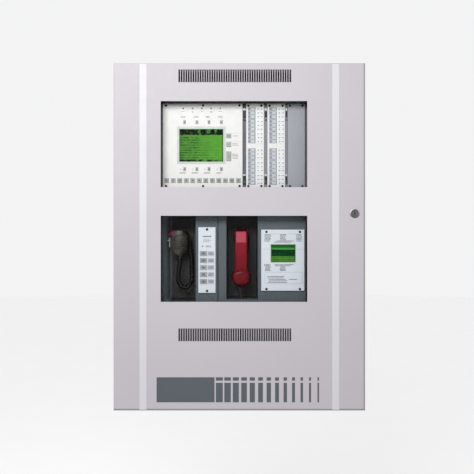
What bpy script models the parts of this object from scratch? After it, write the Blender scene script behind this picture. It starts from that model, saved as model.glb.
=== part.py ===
"""Wall-mounted fire alarm control panel: backbox, glazed door, operator modules, microphone and handset.

Metres, +Z up. The origin is the centre of the backbox's rear face, which lies on the wall, and the
front of the panel looks along -Y. Every moving piece has its origin on its joint's axis.
"""

import math

import bmesh
import bpy
from mathutils import Matrix, Vector

GAP = 0.0003
SHEET = 0.0015
CUT_PAST = 0.010
JOIN_OVERLAP = 0.001

# Backbox
BOX_WIDTH = 0.748
BOX_HEIGHT = 1.038
BOX_FRONT = -0.1375
BOX_LIP = 0.012
KNOCKOUT_RADIUS = 0.011
KNOCKOUT_DEPTH = 0.0007
KNOCKOUT_Y = -0.070
KNOCKOUT_X = (-0.270, -0.160, 0.160, 0.270)
KNOCKOUT_Z = (-0.400, 0.300, 0.400)
WALL_HOLE_RADIUS = 0.0045
WALL_HOLE_X = 0.310
WALL_HOLE_Z = 0.470

# Door
DOOR_WIDTH = 0.762
DOOR_HEIGHT = 1.052
DOOR_FRONT = -0.177
DOOR_REAR = -0.141
DOOR_LIP = 0.012
DOOR_EDGE_RADIUS = 0.0024
WINDOW_X = (-0.2381, 0.2055)
UPPER_WINDOW_Z = (0.1504, 0.4110)
LOWER_WINDOW_Z = (-0.1972, 0.0637)
VENT_COUNT = 48
VENT_PITCH = 0.00715
VENT_SLOT_WIDTH = 0.0050
VENT_CENTRE_X = -0.0138
TOP_VENT_Z = (0.4678, 0.5065)
BOTTOM_VENT_Z = (-0.3159, -0.2773)
PANE_THICKNESS = 0.003
PANE_OVERLAP = 0.015
RETAINER_RIM = 0.008

# Continuous hinge at the door's left edge
HINGE_X = -0.3775
HINGE_Y = -0.1375
HINGE_HALF_LENGTH = 0.500
KNUCKLE_COUNT = 13
KNUCKLE_GAP = 0.0005
KNUCKLE_RADIUS = 0.0029
PIN_RADIUS = 0.0014
PIN_HOLE_RADIUS = 0.0016
LEAF_THICKNESS = 0.0012
BOX_LEAF_REAR = -0.112
PIN_HEAD_LENGTH = 0.003

# Cam lock
LOCK_X = 0.349
LOCK_Z = 0.0713
LOCK_BEZEL_RADIUS = 0.0142
LOCK_BEZEL_HEIGHT = 0.0030
LOCK_BARREL_RADIUS = 0.0120
LOCK_NUT_RADIUS = 0.0170
LOCK_NUT_THICKNESS = 0.004
LOCK_BORE_RADIUS = 0.0099
LOCK_PLUG_RADIUS = 0.0096
LOCK_PLUG_SUNK = 0.001
LOCK_NECK_RADIUS = 0.0045
LOCK_NECK_LENGTH = 0.0045
LOCK_REAR = -0.150
KEYWAY_SIZE = (0.0018, 0.0110)
KEYWAY_DEPTH = 0.012
CAM_HALF_WIDTH = 0.007
CAM_THICKNESS = 0.002
CAM_TAIL_FRONT = -0.1352
CAM_HEEL = 0.009
CAM_CRANK = 0.0085
CAM_REACH = 0.021

# Frame that carries the modules
CHASSIS_X = (-0.2560, 0.2245)
CHASSIS_Z = (-0.2160, 0.4300)
CHASSIS_FRONT = -0.1197
RAIL_OPENING_X = (-0.2465, 0.2150)
RAIL_OPENINGS_Z = ((-0.2075, 0.0865), (0.100, 0.138), (0.152, 0.401))

# Modules: trays whose faces lie in one plane
FACE = -0.132
TRAY_WALL = 0.002
TRAY_REAR = -0.120
MODULE_Z = (0.142, 0.411)
DISPLAY_X = (-0.2365, 0.0102)
LCD_X = (-0.1920, -0.0426)
LCD_Z = (0.2249, 0.3398)
LCD_BEZEL = 0.0065
SCREEN_PROUD = 0.0005
SCREEN_SUNK = 0.0012
SCREEN_FLANGE = 0.002
SCREEN_FLANGE_THICKNESS = 0.0012
ANNUNCIATOR_X = {"annunciator_left": (0.0211, 0.0763), "annunciator_right": (0.0867, 0.1412)}
BLANK_X = (0.1492, 0.2028)

# Display keys
KEY_PROUD = 0.0025
PAGE_KEY_PROUD = 0.0020
KEY_FLANGE = 0.0012
KEY_FLANGE_THICKNESS = 0.001
KEY_CHAMFER = 0.0006
KEY_CLEARANCE = 0.0004
KEY_COUNT = 12
KEY_X0 = -0.2241
KEY_PITCH = 0.0201
KEY_Z = 0.1737
KEY_SIZE = 0.0133
BUTTON_X = (-0.1687, -0.1308, -0.0935, -0.0553)
UPPER_BUTTON_Z = 0.3539
LOWER_BUTTON_Z = 0.2092
BUTTON_SIZE = (0.0072, 0.0107)
SIDE_KEY_X = -0.0325
SIDE_KEY_WIDTH = 0.0139
SIDE_KEYS = (
    ("page_up_key", 0.3111, 0.0127),
    ("page_down_key", 0.2850, 0.0143),
    ("detail_key", 0.2486, 0.0286),
)

# Processor board behind the display; a component is its span in X, its height and its span in Z
BOARD_X = (-0.229, -0.001)
BOARD_Y = (-0.1120, -0.1104)
BOARD_Z = (0.160, 0.395)
BOARD_POST_RADIUS = 0.0035
BOARD_POST_X = (-0.222, -0.010)
BOARD_POST_Z = (0.190, 0.388)
BOARD_COMPONENTS = (
    ((-0.215, -0.175), 0.0044, (0.330, 0.370)),
    ((-0.160, -0.120), 0.0029, (0.320, 0.345)),
    ((-0.100, -0.020), 0.0104, (0.370, 0.385)),
    ((-0.215, -0.205), 0.0124, (0.180, 0.300)),
    ((-0.150, -0.110), 0.0084, (0.200, 0.240)),
    ((-0.060, -0.025), 0.0144, (0.200, 0.300)),
)

# Power supply on the rear wall, right of the modules
SUPPLY_X = (0.240, 0.356)
SUPPLY_Z = (-0.180, 0.060)
SUPPLY_FRONT = -0.092
TERMINAL_INSET = 0.010
TERMINAL_Y = (-0.040, -0.020)
TERMINAL_DROP = 0.014
LOUVRE_COUNT = 9
LOUVRE_PITCH = 0.020
LOUVRE_HEIGHT = 0.006
LOUVRE_DEPTH = 0.001
LOUVRE_INSET = 0.020
LOUVRE_START = 0.040

# Standby batteries on the box's floor
BATTERY_LEFT = {"battery_left": -0.200, "battery_right": 0.012}
BATTERY_WIDTH = 0.181
BATTERY_DEPTH = 0.076
BATTERY_HEIGHT = 0.163
BATTERY_FROM_WALL = 0.008
LID_INSET = 0.003
LID_HEIGHT = 0.004
TAB_WIDTH = 0.012
TAB_DEPTH = 0.010
TAB_HEIGHT = 0.006
TAB_FROM_SIDE = 0.014

# Lower fascias, each with a deep box behind it
PAGING_X = (-0.2525, -0.0668)
PHONE_X = (-0.0650, 0.2050)
FASCIA_Z = (-0.212, 0.098)
BAY_BACK = -0.050
MIC_BAY_FRONT = (-0.2430, -0.1344, -0.2040, 0.0840)
MIC_BAY_REAR = (-0.2200, -0.1344, -0.1930, 0.0800)
PHONE_BAY_FRONT = (-0.0400, 0.0575, -0.1935, 0.0840)
PHONE_BAY_REAR = (-0.0380, 0.0545, -0.1895, 0.0800)

# White panels that stand proud of the lower fascias
PROUD_FACE = -0.1375
PROUD_WALL = 0.0015
PAGE_PANEL = (-0.1261, -0.0732, -0.1729, 0.0295)
PHONE_PANEL = (0.0674, 0.2004, -0.1662, 0.0221)
PHONE_LCD = (0.0959, 0.1744, -0.0796, -0.0221)
PHONE_LCD_BEZEL = 0.0015
PAGE_BUTTON_X = -0.1101
PAGE_BUTTON_COUNT = 5
PAGE_BUTTON_Z0 = -0.0513
PAGE_BUTTON_PITCH = 0.02158
PAGE_BUTTON_SIZE = (0.0214, 0.0137)

# Handset: its side view as (y, z) corners, and the two round ends
HANDSET_X = 0.0056
GRIP_HALF_WIDTH = 0.0205
GRIP_EDGE = 0.005
HANDSET_SIDE = (
    (-0.0880, 0.0290),
    (-0.1140, 0.0260),
    (-0.1235, 0.0170),
    (-0.1365, -0.0185),
    (-0.1385, -0.0600),
    (-0.1360, -0.1000),
    (-0.1230, -0.1360),
    (-0.1000, -0.1360),
    (-0.1100, -0.1000),
    (-0.1140, -0.0600),
    (-0.1110, -0.0220),
    (-0.0880, 0.0160),
)
EARPIECE_Z = -0.0035
EARPIECE_RADIUS = 0.0255
EARPIECE_Y = (-0.1120, -0.0760)
MOUTHPIECE_Z = -0.1245
MOUTHPIECE_RADIUS = 0.0300
MOUTHPIECE_Y = (-0.1345, -0.0800)
HANDSET_CORD_Y = -0.106
HANDSET_CORD_DIAMETER = 0.006
HANDSET_FOOT_Z = -0.1580
HANDSET_BOSS_Z = -0.1450
CORD_SOCKET_HALF_WIDTH = 0.0075
CORD_SOCKET_Y = (-0.1305, -0.0990)
CORD_SOCKET_Z = (-0.1970, -0.1830)
SWITCH_HALF_WIDTH = 0.009
SWITCH_TIP_Y = -0.1010
SWITCH_NOSE = 0.002
SWITCH_NOSE_THICKNESS = 0.0045
SWITCH_THICKNESS = 0.0055
SWITCH_HEEL_LENGTH = 0.015
SWITCH_HEEL_DROP = 0.010

# Microphone: level sections as (z, half width, half depth), and the talk button on its upper left shoulder
MIC_X = -0.185
MIC_Y = -0.100
MIC_FOOT_Z = -0.0600
MIC_SECTIONS = (
    (0.0215, 0.0130, 0.0090),
    (0.0185, 0.0215, 0.0135),
    (0.0080, 0.0285, 0.0168),
    (-0.0100, 0.0300, 0.0175),
    (-0.0300, 0.0285, 0.0170),
    (-0.0440, 0.0254, 0.0156),
    (-0.0530, 0.0207, 0.0136),
    (-0.0575, 0.0140, 0.0110),
    (MIC_FOOT_Z, 0.0080, 0.0075),
)
MIC_SIDES = 24
MIC_SQUARENESS = 0.85
TALK_LEAN = math.radians(50)
TALK_CENTRE_Z = -0.018
TALK_REACH = 0.0454
TALK_RADIUS = 0.0125
TALK_SEAT = 0.0260
TALK_TRAVEL_SPACE = 0.0030

# The microphone's clip: an arm from the bay's back, a plate behind the microphone and a finger beside it
CLIP_ARM_X = (-0.195, -0.175)
CLIP_ARM_Z = (-0.026, -0.006)
CLIP_PLATE_X = (-0.2190, -0.178)
CLIP_PLATE_Y = (-0.0800, -0.0780)
CLIP_Z = (-0.032, -0.002)
CLIP_FINGER_X = (-0.2190, -0.2170)
CLIP_FINGER_FRONT = -0.0980
CLIP_STUD_END = -0.2255
CLIP_STUD_RADIUS = 0.0036
CLIP_STUD_PLACE = (-0.0890, -0.0120)

# The curly cord's gland and the route of its axis
CURLY_CORD_DIAMETER = 0.015
GLAND_BASE_RADIUS = 0.011
GLAND_TIP_RADIUS = 0.0095
GLAND_FRONT = -0.0580
MIC_CORD_ROUTE = (
    (-0.1850, -0.1000, -0.0603),
    (-0.1858, -0.1000, -0.0800),
    (-0.1900, -0.0995, -0.1130),
    (-0.1895, -0.0980, -0.1400),
    (-0.1700, -0.0955, -0.1610),
    (-0.1505, -0.0925, -0.1400),
    (-0.1490, -0.0885, -0.1100),
    (-0.1500, -0.0820, -0.0800),
    (-0.1515, -0.0770, -0.0550),
    (-0.1535, -0.0752, -0.0340),
    (-0.1555, -0.0724, -0.0190),
    (-0.1560, -0.0660, -0.0102),
    (-0.1560, -0.0620, -0.0100),
    (-0.1560, -0.0583, -0.0100),
)
MIC_CORD_SPACING = 0.008

# The handset's cord, down through the recess and back up to its socket
HANDSET_CORD_ROUTE = (
    (0.0056, -0.1060, -0.1583),
    (0.0056, -0.1060, -0.2000),
    (0.0056, -0.1060, -0.3000),
    (0.0050, -0.1065, -0.4000),
    (-0.0030, -0.1075, -0.4550),
    (-0.0245, -0.1080, -0.4800),
    (-0.0460, -0.1075, -0.4550),
    (-0.0540, -0.1065, -0.4000),
    (-0.0545, -0.1060, -0.3000),
    (-0.0545, -0.1060, -0.1973),
)
HANDSET_CORD_SPACING = 0.014
ROUTE_STEPS = 24


def linear(value):
    """One sRGB channel, 0 to 255, as the linear value that a shader takes."""
    share = value / 255
    return share / 12.92 if share <= 0.04045 else ((share + 0.055) / 1.055) ** 2.4


def finish(name, colour, roughness, metallic=0.0, alpha=1.0):
    material = bpy.data.materials.new(name)
    material.use_nodes = True
    shader = material.node_tree.nodes["Principled BSDF"]
    shader.inputs["Base Color"].default_value = (*(linear(c) for c in colour), 1.0)
    shader.inputs["Roughness"].default_value = roughness
    shader.inputs["Metallic"].default_value = metallic
    shader.inputs["Alpha"].default_value = alpha
    return material


def make_finishes():
    return {
        "door_paint": finish("door_paint", (214, 212, 219), 0.45),
        "box_paint": finish("box_paint", (196, 195, 201), 0.5),
        "dark_paint": finish("dark_paint", (88, 92, 95), 0.5),
        "blank_paint": finish("blank_paint", (163, 167, 176), 0.5),
        "white_panel": finish("white_panel", (240, 241, 243), 0.5),
        "key_grey": finish("key_grey", (128, 130, 134), 0.55),
        "screen_green": finish("screen_green", (87, 140, 59), 0.25),
        "pane": finish("pane", (235, 240, 240), 0.05, alpha=0.2),
        "chrome": finish("chrome", (205, 205, 208), 0.18, 1.0),
        "steel": finish("steel", (165, 166, 168), 0.35, 1.0),
        "zinc": finish("zinc", (176, 178, 176), 0.4, 1.0),
        "handset_red": finish("handset_red", (150, 30, 44), 0.35),
        "cord_red": finish("cord_red", (84, 34, 36), 0.5),
        "black_plastic": finish("black_plastic", (36, 34, 33), 0.5),
        "talk_red": finish("talk_red", (140, 36, 66), 0.4),
        "cord_black": finish("cord_black", (30, 29, 29), 0.5),
        "board_green": finish("board_green", (32, 88, 54), 0.45),
        "battery_case": finish("battery_case", (52, 54, 58), 0.5),
    }


def new_object(name, bm, material, origin=(0, 0, 0)):
    """Turns bm, in world coordinates, into an object whose origin is at the given point."""
    bmesh.ops.recalc_face_normals(bm, faces=bm.faces)
    bmesh.ops.translate(bm, vec=-Vector(origin), verts=bm.verts)
    mesh = bpy.data.meshes.new(name)
    bm.to_mesh(mesh)
    bm.free()
    obj = bpy.data.objects.new(name, mesh)
    obj.location = origin
    if material:
        mesh.materials.append(material)
    bpy.context.scene.collection.objects.link(obj)
    return obj


def smooth(obj):
    obj.data.shade_smooth()
    obj.data.set_sharp_from_angle(angle=math.radians(35))
    return obj


def guide(name, bm):
    """A body that only cuts or joins another one."""
    obj = new_object(name, bm, None)
    obj.hide_render = True
    obj.display_type = "WIRE"
    return obj


def combine(obj, other, operation):
    modifier = obj.modifiers.new(other.name, "BOOLEAN")
    modifier.operation = operation
    modifier.solver = "EXACT"
    modifier.object = other
    return obj


def bevel(obj, width, segments):
    modifier = obj.modifiers.new("edges", "BEVEL")
    modifier.width = width
    modifier.segments = segments
    modifier.limit_method = "ANGLE"
    modifier.angle_limit = math.radians(30)


def add_block(bm, x, y, z):
    """A box between the pairs of limits x, y and z."""
    size = Vector((x[1] - x[0], y[1] - y[0], z[1] - z[0]))
    middle = Vector(((x[0] + x[1]) / 2, (y[0] + y[1]) / 2, (z[0] + z[1]) / 2))
    matrix = Matrix.Translation(middle) @ Matrix.Diagonal((*size, 1))
    bmesh.ops.create_cube(bm, size=1, matrix=matrix)


def add_ring_shell(bm, rings):
    """A body through rectangles (x0, x1, z0, z1, y), with a face across the first and the last."""
    loops = []
    for x0, x1, z0, z1, y in rings:
        corners = ((x0, z0), (x1, z0), (x1, z1), (x0, z1))
        loops.append([bm.verts.new((x, y, z)) for x, z in corners])
    for one, two in zip(loops, loops[1:]):
        for i in range(4):
            j = (i + 1) % 4
            bm.faces.new((one[i], one[j], two[j], two[i]))
    bm.faces.new(loops[0])
    bm.faces.new(loops[-1])


def add_prism(bm, outline, axis, low, high):
    """An outline of point pairs in the plane across axis, drawn out from low to high along it."""
    def place(pair, along):
        point = list(pair)
        point.insert("XYZ".index(axis), along)
        return point

    ends = [[bm.verts.new(place(pair, along)) for pair in outline] for along in (low, high)]
    count = len(outline)
    for i in range(count):
        j = (i + 1) % count
        bm.faces.new((ends[0][i], ends[0][j], ends[1][j], ends[1][i]))
    bm.faces.new(ends[0])
    bm.faces.new(ends[1])


def add_turned(bm, profile, centre, axis, segments, closed=False):
    """A profile of (radius, place along axis) turned around the line through centre along axis.

    An open profile starts and ends on the axis; a closed one goes round a ring's section.
    """
    along = "XYZ".index(axis)
    across = [k for k in range(3) if k != along]
    loops = []
    for radius, place in profile:
        loop = []
        for i in range(segments if radius else 1):
            angle = 2 * math.pi * (i + 0.5) / segments
            point = [0.0, 0.0, 0.0]
            point[along] = place
            point[across[0]] = centre[0] + radius * math.cos(angle)
            point[across[1]] = centre[1] + radius * math.sin(angle)
            loop.append(bm.verts.new(point))
        loops.append(loop)
    pairs = list(zip(loops, loops[1:]))
    if closed:
        pairs.append((loops[-1], loops[0]))
    for one, two in pairs:
        for i in range(segments):
            j = (i + 1) % segments
            corners = [one[i % len(one)], one[j % len(one)], two[j % len(two)], two[i % len(two)]]
            unique = list(dict.fromkeys(corners))
            bm.faces.new(unique)


def inset(rect, by):
    """The rectangle (x0, x1, z0, z1) drawn in by a distance."""
    return rect[0] + by, rect[1] - by, rect[2] + by, rect[3] - by


def centred(width, height):
    return -width / 2, width / 2, -height / 2, height / 2


def block_object(name, material, *limits):
    bm = bmesh.new()
    add_block(bm, *limits)
    return new_object(name, bm, material)


def block_cutter(name, blocks):
    bm = bmesh.new()
    for limits in blocks:
        add_block(bm, *limits)
    return guide(name, bm)


def tray(name, rect, front, rear, wall, material):
    """A shallow pan open at the back, with its outer edges chamfered at the face."""
    soft = wall / 3
    bm = bmesh.new()
    add_ring_shell(bm, [
        (*inset(rect, soft), front),
        (*rect, front + soft),
        (*rect, rear),
        (*inset(rect, wall), rear),
        (*inset(rect, wall), front + wall),
    ])
    return new_object(name, bm, material)


def make_backbox(finishes):
    outer = centred(BOX_WIDTH, BOX_HEIGHT)
    bm = bmesh.new()
    add_ring_shell(bm, [
        (*inset(outer, SHEET), -SHEET),
        (*inset(outer, SHEET), BOX_FRONT + SHEET),
        (*inset(outer, BOX_LIP), BOX_FRONT + SHEET),
        (*inset(outer, BOX_LIP), BOX_FRONT),
        (*outer, BOX_FRONT),
        (*outer, 0),
    ])
    box = new_object("backbox", bm, finishes["box_paint"])
    combine(box, knockout_cutter(), "DIFFERENCE")
    bm = bmesh.new()
    radius = WALL_HOLE_RADIUS
    hole = [(0, -CUT_PAST), (radius, -CUT_PAST), (radius, CUT_PAST), (0, CUT_PAST)]
    for x in (-WALL_HOLE_X, WALL_HOLE_X):
        for z in (-WALL_HOLE_Z, WALL_HOLE_Z):
            add_turned(bm, hole, (x, z), "Y", 12)
    return combine(box, guide("wall_hole_cutter", bm), "DIFFERENCE")


def knockout_cutter():
    """Shallow round sinks where the conduit knock-outs are half punched, top, bottom and sides."""
    bm = bmesh.new()
    for side in (-1, 1):
        for x in KNOCKOUT_X:
            face = side * BOX_HEIGHT / 2
            add_turned(bm, knockout_profile(face, side), (x, KNOCKOUT_Y), "Z", 16)
        for z in KNOCKOUT_Z:
            face = side * BOX_WIDTH / 2
            add_turned(bm, knockout_profile(face, side), (KNOCKOUT_Y, z), "X", 16)
    return guide("knockout_cutter", bm)


def knockout_profile(face, side):
    deep = face - side * KNOCKOUT_DEPTH
    outside = face + side * CUT_PAST
    return [(0, deep), (KNOCKOUT_RADIUS, deep), (KNOCKOUT_RADIUS, outside), (0, outside)]


def make_door(finishes):
    """A folded pan: rounded front edges, four flanges and an inward lip, cut for panes, vents and lock."""
    outer = centred(DOOR_WIDTH, DOOR_HEIGHT)
    rings = []
    for step in range(4):
        turn = math.radians(30 * step)
        drawn_in = DOOR_EDGE_RADIUS * (1 - math.sin(turn))
        back = DOOR_EDGE_RADIUS * (1 - math.cos(turn))
        rings.append((*inset(outer, drawn_in), DOOR_FRONT + back))
    rings += [
        (*outer, DOOR_REAR),
        (*inset(outer, DOOR_LIP), DOOR_REAR),
        (*inset(outer, DOOR_LIP), DOOR_REAR - SHEET),
        (*inset(outer, SHEET), DOOR_REAR - SHEET),
        (*inset(outer, SHEET), DOOR_FRONT + SHEET + DOOR_EDGE_RADIUS / 2),
        (*inset(outer, SHEET + DOOR_EDGE_RADIUS / 2), DOOR_FRONT + SHEET),
    ]
    bm = bmesh.new()
    add_ring_shell(bm, rings)
    door = new_object("outer_door", bm, finishes["door_paint"], (HINGE_X, HINGE_Y, 0))
    through = (DOOR_FRONT - CUT_PAST, DOOR_FRONT + SHEET + CUT_PAST)
    blocks = [(WINDOW_X, through, UPPER_WINDOW_Z), (WINDOW_X, through, LOWER_WINDOW_Z)]
    for i in range(VENT_COUNT):
        middle = VENT_CENTRE_X + (i - (VENT_COUNT - 1) / 2) * VENT_PITCH
        slot = (middle - VENT_SLOT_WIDTH / 2, middle + VENT_SLOT_WIDTH / 2)
        blocks += [(slot, through, TOP_VENT_Z), (slot, through, BOTTOM_VENT_Z)]
    combine(door, block_cutter("door_sheet_cutter", blocks), "DIFFERENCE")
    bm = bmesh.new()
    radius = LOCK_BARREL_RADIUS + KEY_CLEARANCE
    hole = [(0, through[0]), (radius, through[0]), (radius, through[1]), (0, through[1])]
    add_turned(bm, hole, (LOCK_X, LOCK_Z), "Y", 24)
    return combine(door, guide("lock_hole_cutter", bm), "DIFFERENCE")


def make_panes(finishes):
    front = DOOR_FRONT + SHEET + GAP
    thickness = (front, front + PANE_THICKNESS)
    width = (WINDOW_X[0] - PANE_OVERLAP, WINDOW_X[1] + PANE_OVERLAP)
    for name, z in (("window_pane_upper", UPPER_WINDOW_Z), ("window_pane_lower", LOWER_WINDOW_Z)):
        height = (z[0] - PANE_OVERLAP, z[1] + PANE_OVERLAP)
        block_object(name, finishes["pane"], width, thickness, height)


def make_pane_retainer(finishes):
    """One steel frame behind the door sheet whose rim reaches forward round both panes."""
    front = DOOR_FRONT + SHEET + GAP
    plate = front + PANE_THICKNESS + GAP
    pocket = (
        WINDOW_X[0] - PANE_OVERLAP - GAP,
        WINDOW_X[1] + PANE_OVERLAP + GAP,
        LOWER_WINDOW_Z[0] - PANE_OVERLAP - GAP,
        UPPER_WINDOW_Z[1] + PANE_OVERLAP + GAP,
    )
    outer = inset(pocket, -RETAINER_RIM)
    bm = bmesh.new()
    add_ring_shell(bm, [(*pocket, plate), (*pocket, front), (*outer, front), (*outer, plate + SHEET)])
    frame = new_object("pane_retainer", bm, finishes["steel"])
    through = (plate - CUT_PAST, plate + CUT_PAST)
    clear = (WINDOW_X[0] - 2 * GAP, WINDOW_X[1] + 2 * GAP)
    windows = [(clear, through, UPPER_WINDOW_Z), (clear, through, LOWER_WINDOW_Z)]
    return combine(frame, block_cutter("retainer_cutter", windows), "DIFFERENCE")


def knuckle_spans(own):
    """The stretches along Z of every second knuckle, from the first or from the second."""
    pitch = 2 * HINGE_HALF_LENGTH / KNUCKLE_COUNT
    starts = [-HINGE_HALF_LENGTH + i * pitch for i in range(own, KNUCKLE_COUNT, 2)]
    return [(start, start + pitch) for start in starts]


def make_leaf(name, plate_x, plate_y, own, material):
    """A hinge leaf: a plate beside the knuckle line, cut back where the other leaf's knuckles are."""
    bm = bmesh.new()
    add_block(bm, plate_x, plate_y, (-HINGE_HALF_LENGTH, HINGE_HALF_LENGTH))
    leaf = new_object(name, bm, material, (HINGE_X, HINGE_Y, 0))
    bm = bmesh.new()
    ends = (-HINGE_HALF_LENGTH, HINGE_HALF_LENGTH)
    barrel = [(0, ends[0]), (KNUCKLE_RADIUS, ends[0]), (KNUCKLE_RADIUS, ends[1]), (0, ends[1])]
    add_turned(bm, barrel, (HINGE_X, HINGE_Y), "Z", 12)
    combine(leaf, guide(name + "_barrel", bm), "UNION")
    reach = KNUCKLE_RADIUS + GAP
    blocks = []
    for start, end in knuckle_spans(1 - own):
        span = (start - KNUCKLE_GAP / 2, end + KNUCKLE_GAP / 2)
        across = (HINGE_X - reach, HINGE_X + reach)
        deep = (HINGE_Y - reach - LEAF_THICKNESS, HINGE_Y + reach)
        blocks.append((across, deep, span))
    combine(leaf, block_cutter(name + "_notches", blocks), "DIFFERENCE")
    bm = bmesh.new()
    low, high = -HINGE_HALF_LENGTH - CUT_PAST, HINGE_HALF_LENGTH + CUT_PAST
    hole = [(0, low), (PIN_HOLE_RADIUS, low), (PIN_HOLE_RADIUS, high), (0, high)]
    add_turned(bm, hole, (HINGE_X, HINGE_Y), "Z", 12)
    return combine(leaf, guide(name + "_bore", bm), "DIFFERENCE")


def make_hinge(finishes):
    box_side = -BOX_WIDTH / 2
    box_plate = (box_side - GAP - LEAF_THICKNESS, box_side - GAP)
    make_leaf("hinge_leaf_box", box_plate, (HINGE_Y, BOX_LEAF_REAR), 0, finishes["zinc"])
    door_face = DOOR_REAR + GAP
    door_plate = (door_face, door_face + LEAF_THICKNESS)
    lip_edge = -DOOR_WIDTH / 2 + DOOR_LIP
    make_leaf("hinge_leaf_door", (HINGE_X, lip_edge), door_plate, 1, finishes["zinc"])
    bm = bmesh.new()
    end = HINGE_HALF_LENGTH + PIN_HEAD_LENGTH
    head = HINGE_HALF_LENGTH + GAP
    profile = [
        (0, -end),
        (KNUCKLE_RADIUS, -end),
        (KNUCKLE_RADIUS, -head),
        (PIN_RADIUS, -head),
        (PIN_RADIUS, head),
        (KNUCKLE_RADIUS, head),
        (KNUCKLE_RADIUS, end),
        (0, end),
    ]
    add_turned(bm, profile, (HINGE_X, HINGE_Y), "Z", 12)
    smooth(new_object("hinge_pin", bm, finishes["steel"], (HINGE_X, HINGE_Y, 0)))


def make_lock(finishes):
    """A cam lock: bezelled barrel with its ring nut, plug with a keyway, and a cranked cam."""
    seat = DOOR_FRONT - GAP
    nut = DOOR_FRONT + SHEET + GAP
    nut_end = nut + LOCK_NUT_THICKNESS
    bezel = seat - LOCK_BEZEL_HEIGHT
    crest = (LOCK_BORE_RADIUS + LOCK_BEZEL_RADIUS) / 2
    bm = bmesh.new()
    barrel = [
        (LOCK_BORE_RADIUS, bezel + 2 * GAP),
        (crest, bezel),
        (LOCK_BEZEL_RADIUS - GAP, bezel + 3 * GAP),
        (LOCK_BEZEL_RADIUS, seat),
        (LOCK_BARREL_RADIUS, seat),
        (LOCK_BARREL_RADIUS, nut),
        (LOCK_NUT_RADIUS, nut),
        (LOCK_NUT_RADIUS, nut_end),
        (LOCK_BARREL_RADIUS, nut_end),
        (LOCK_BARREL_RADIUS, LOCK_REAR),
        (LOCK_BORE_RADIUS, LOCK_REAR),
    ]
    add_turned(bm, barrel, (LOCK_X, LOCK_Z), "Y", 24, closed=True)
    smooth(new_object("lock_barrel", bm, finishes["chrome"], (LOCK_X, DOOR_FRONT, LOCK_Z)))
    make_plug(finishes, bezel + LOCK_PLUG_SUNK)
    make_cam(finishes)


def make_plug(finishes, face):
    shoulder = LOCK_REAR + GAP
    neck_end = LOCK_REAR + LOCK_NECK_LENGTH
    bm = bmesh.new()
    plug = [
        (0, face),
        (LOCK_PLUG_RADIUS, face),
        (LOCK_PLUG_RADIUS, shoulder),
        (LOCK_NECK_RADIUS, shoulder),
        (LOCK_NECK_RADIUS, neck_end),
        (0, neck_end),
    ]
    add_turned(bm, plug, (LOCK_X, LOCK_Z), "Y", 24)
    plug_object = smooth(new_object("lock_plug", bm, finishes["steel"], (LOCK_X, DOOR_FRONT, LOCK_Z)))
    half_x, half_z = KEYWAY_SIZE[0] / 2, KEYWAY_SIZE[1] / 2
    keyway = (
        (LOCK_X - half_x, LOCK_X + half_x),
        (face - CUT_PAST, face + KEYWAY_DEPTH),
        (LOCK_Z - half_z, LOCK_Z + half_z),
    )
    combine(plug_object, block_cutter("keyway_cutter", [keyway]), "DIFFERENCE")


def make_cam(finishes):
    """The cam stands up when unlocked and turns towards the box's lip, behind which its tail fits."""
    hub = (LOCK_REAR + 2 * GAP, LOCK_REAR + 2 * GAP + CAM_THICKNESS)
    tail = (CAM_TAIL_FRONT, CAM_TAIL_FRONT + CAM_THICKNESS)
    low, high = LOCK_Z - CAM_HEEL, LOCK_Z + CAM_REACH
    crank = (LOCK_Z + CAM_CRANK, LOCK_Z + CAM_CRANK + CAM_THICKNESS)
    outline = [
        (hub[0], low),
        (hub[1], low),
        (hub[1], crank[0]),
        (tail[1], crank[0]),
        (tail[1], high),
        (tail[0], high),
        (tail[0], crank[1]),
        (hub[0], crank[1]),
    ]
    bm = bmesh.new()
    add_prism(bm, outline, "X", LOCK_X - CAM_HALF_WIDTH, LOCK_X + CAM_HALF_WIDTH)
    cam = new_object("lock_cam", bm, finishes["zinc"], (LOCK_X, DOOR_FRONT, LOCK_Z))
    bm = bmesh.new()
    radius = LOCK_NECK_RADIUS + GAP
    ends = (hub[0] - 2 * CAM_THICKNESS, hub[1] + 2 * CAM_THICKNESS)
    hole = [(0, ends[0]), (radius, ends[0]), (radius, ends[1]), (0, ends[1])]
    add_turned(bm, hole, (LOCK_X, LOCK_Z), "Y", 16)
    combine(cam, guide("cam_hole_cutter", bm), "DIFFERENCE")


def make_chassis(finishes):
    """A channel open above and below, whose front is cut into four rails for the modules."""
    rear = -SHEET - GAP
    depth = (CHASSIS_FRONT, rear)
    body = block_object("module_chassis", finishes["dark_paint"], CHASSIS_X, depth, CHASSIS_Z)
    inside_x = (CHASSIS_X[0] + SHEET, CHASSIS_X[1] - SHEET)
    inside_z = (CHASSIS_Z[0] - CUT_PAST, CHASSIS_Z[1] + CUT_PAST)
    inside = block_cutter("chassis_inside", [(inside_x, (CHASSIS_FRONT + SHEET, rear - SHEET), inside_z)])
    combine(body, inside, "DIFFERENCE")
    through = (CHASSIS_FRONT - CUT_PAST, CHASSIS_FRONT + CUT_PAST)
    openings = [(RAIL_OPENING_X, through, z) for z in RAIL_OPENINGS_Z]
    combine(body, block_cutter("rail_cutter", openings), "DIFFERENCE")


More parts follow.
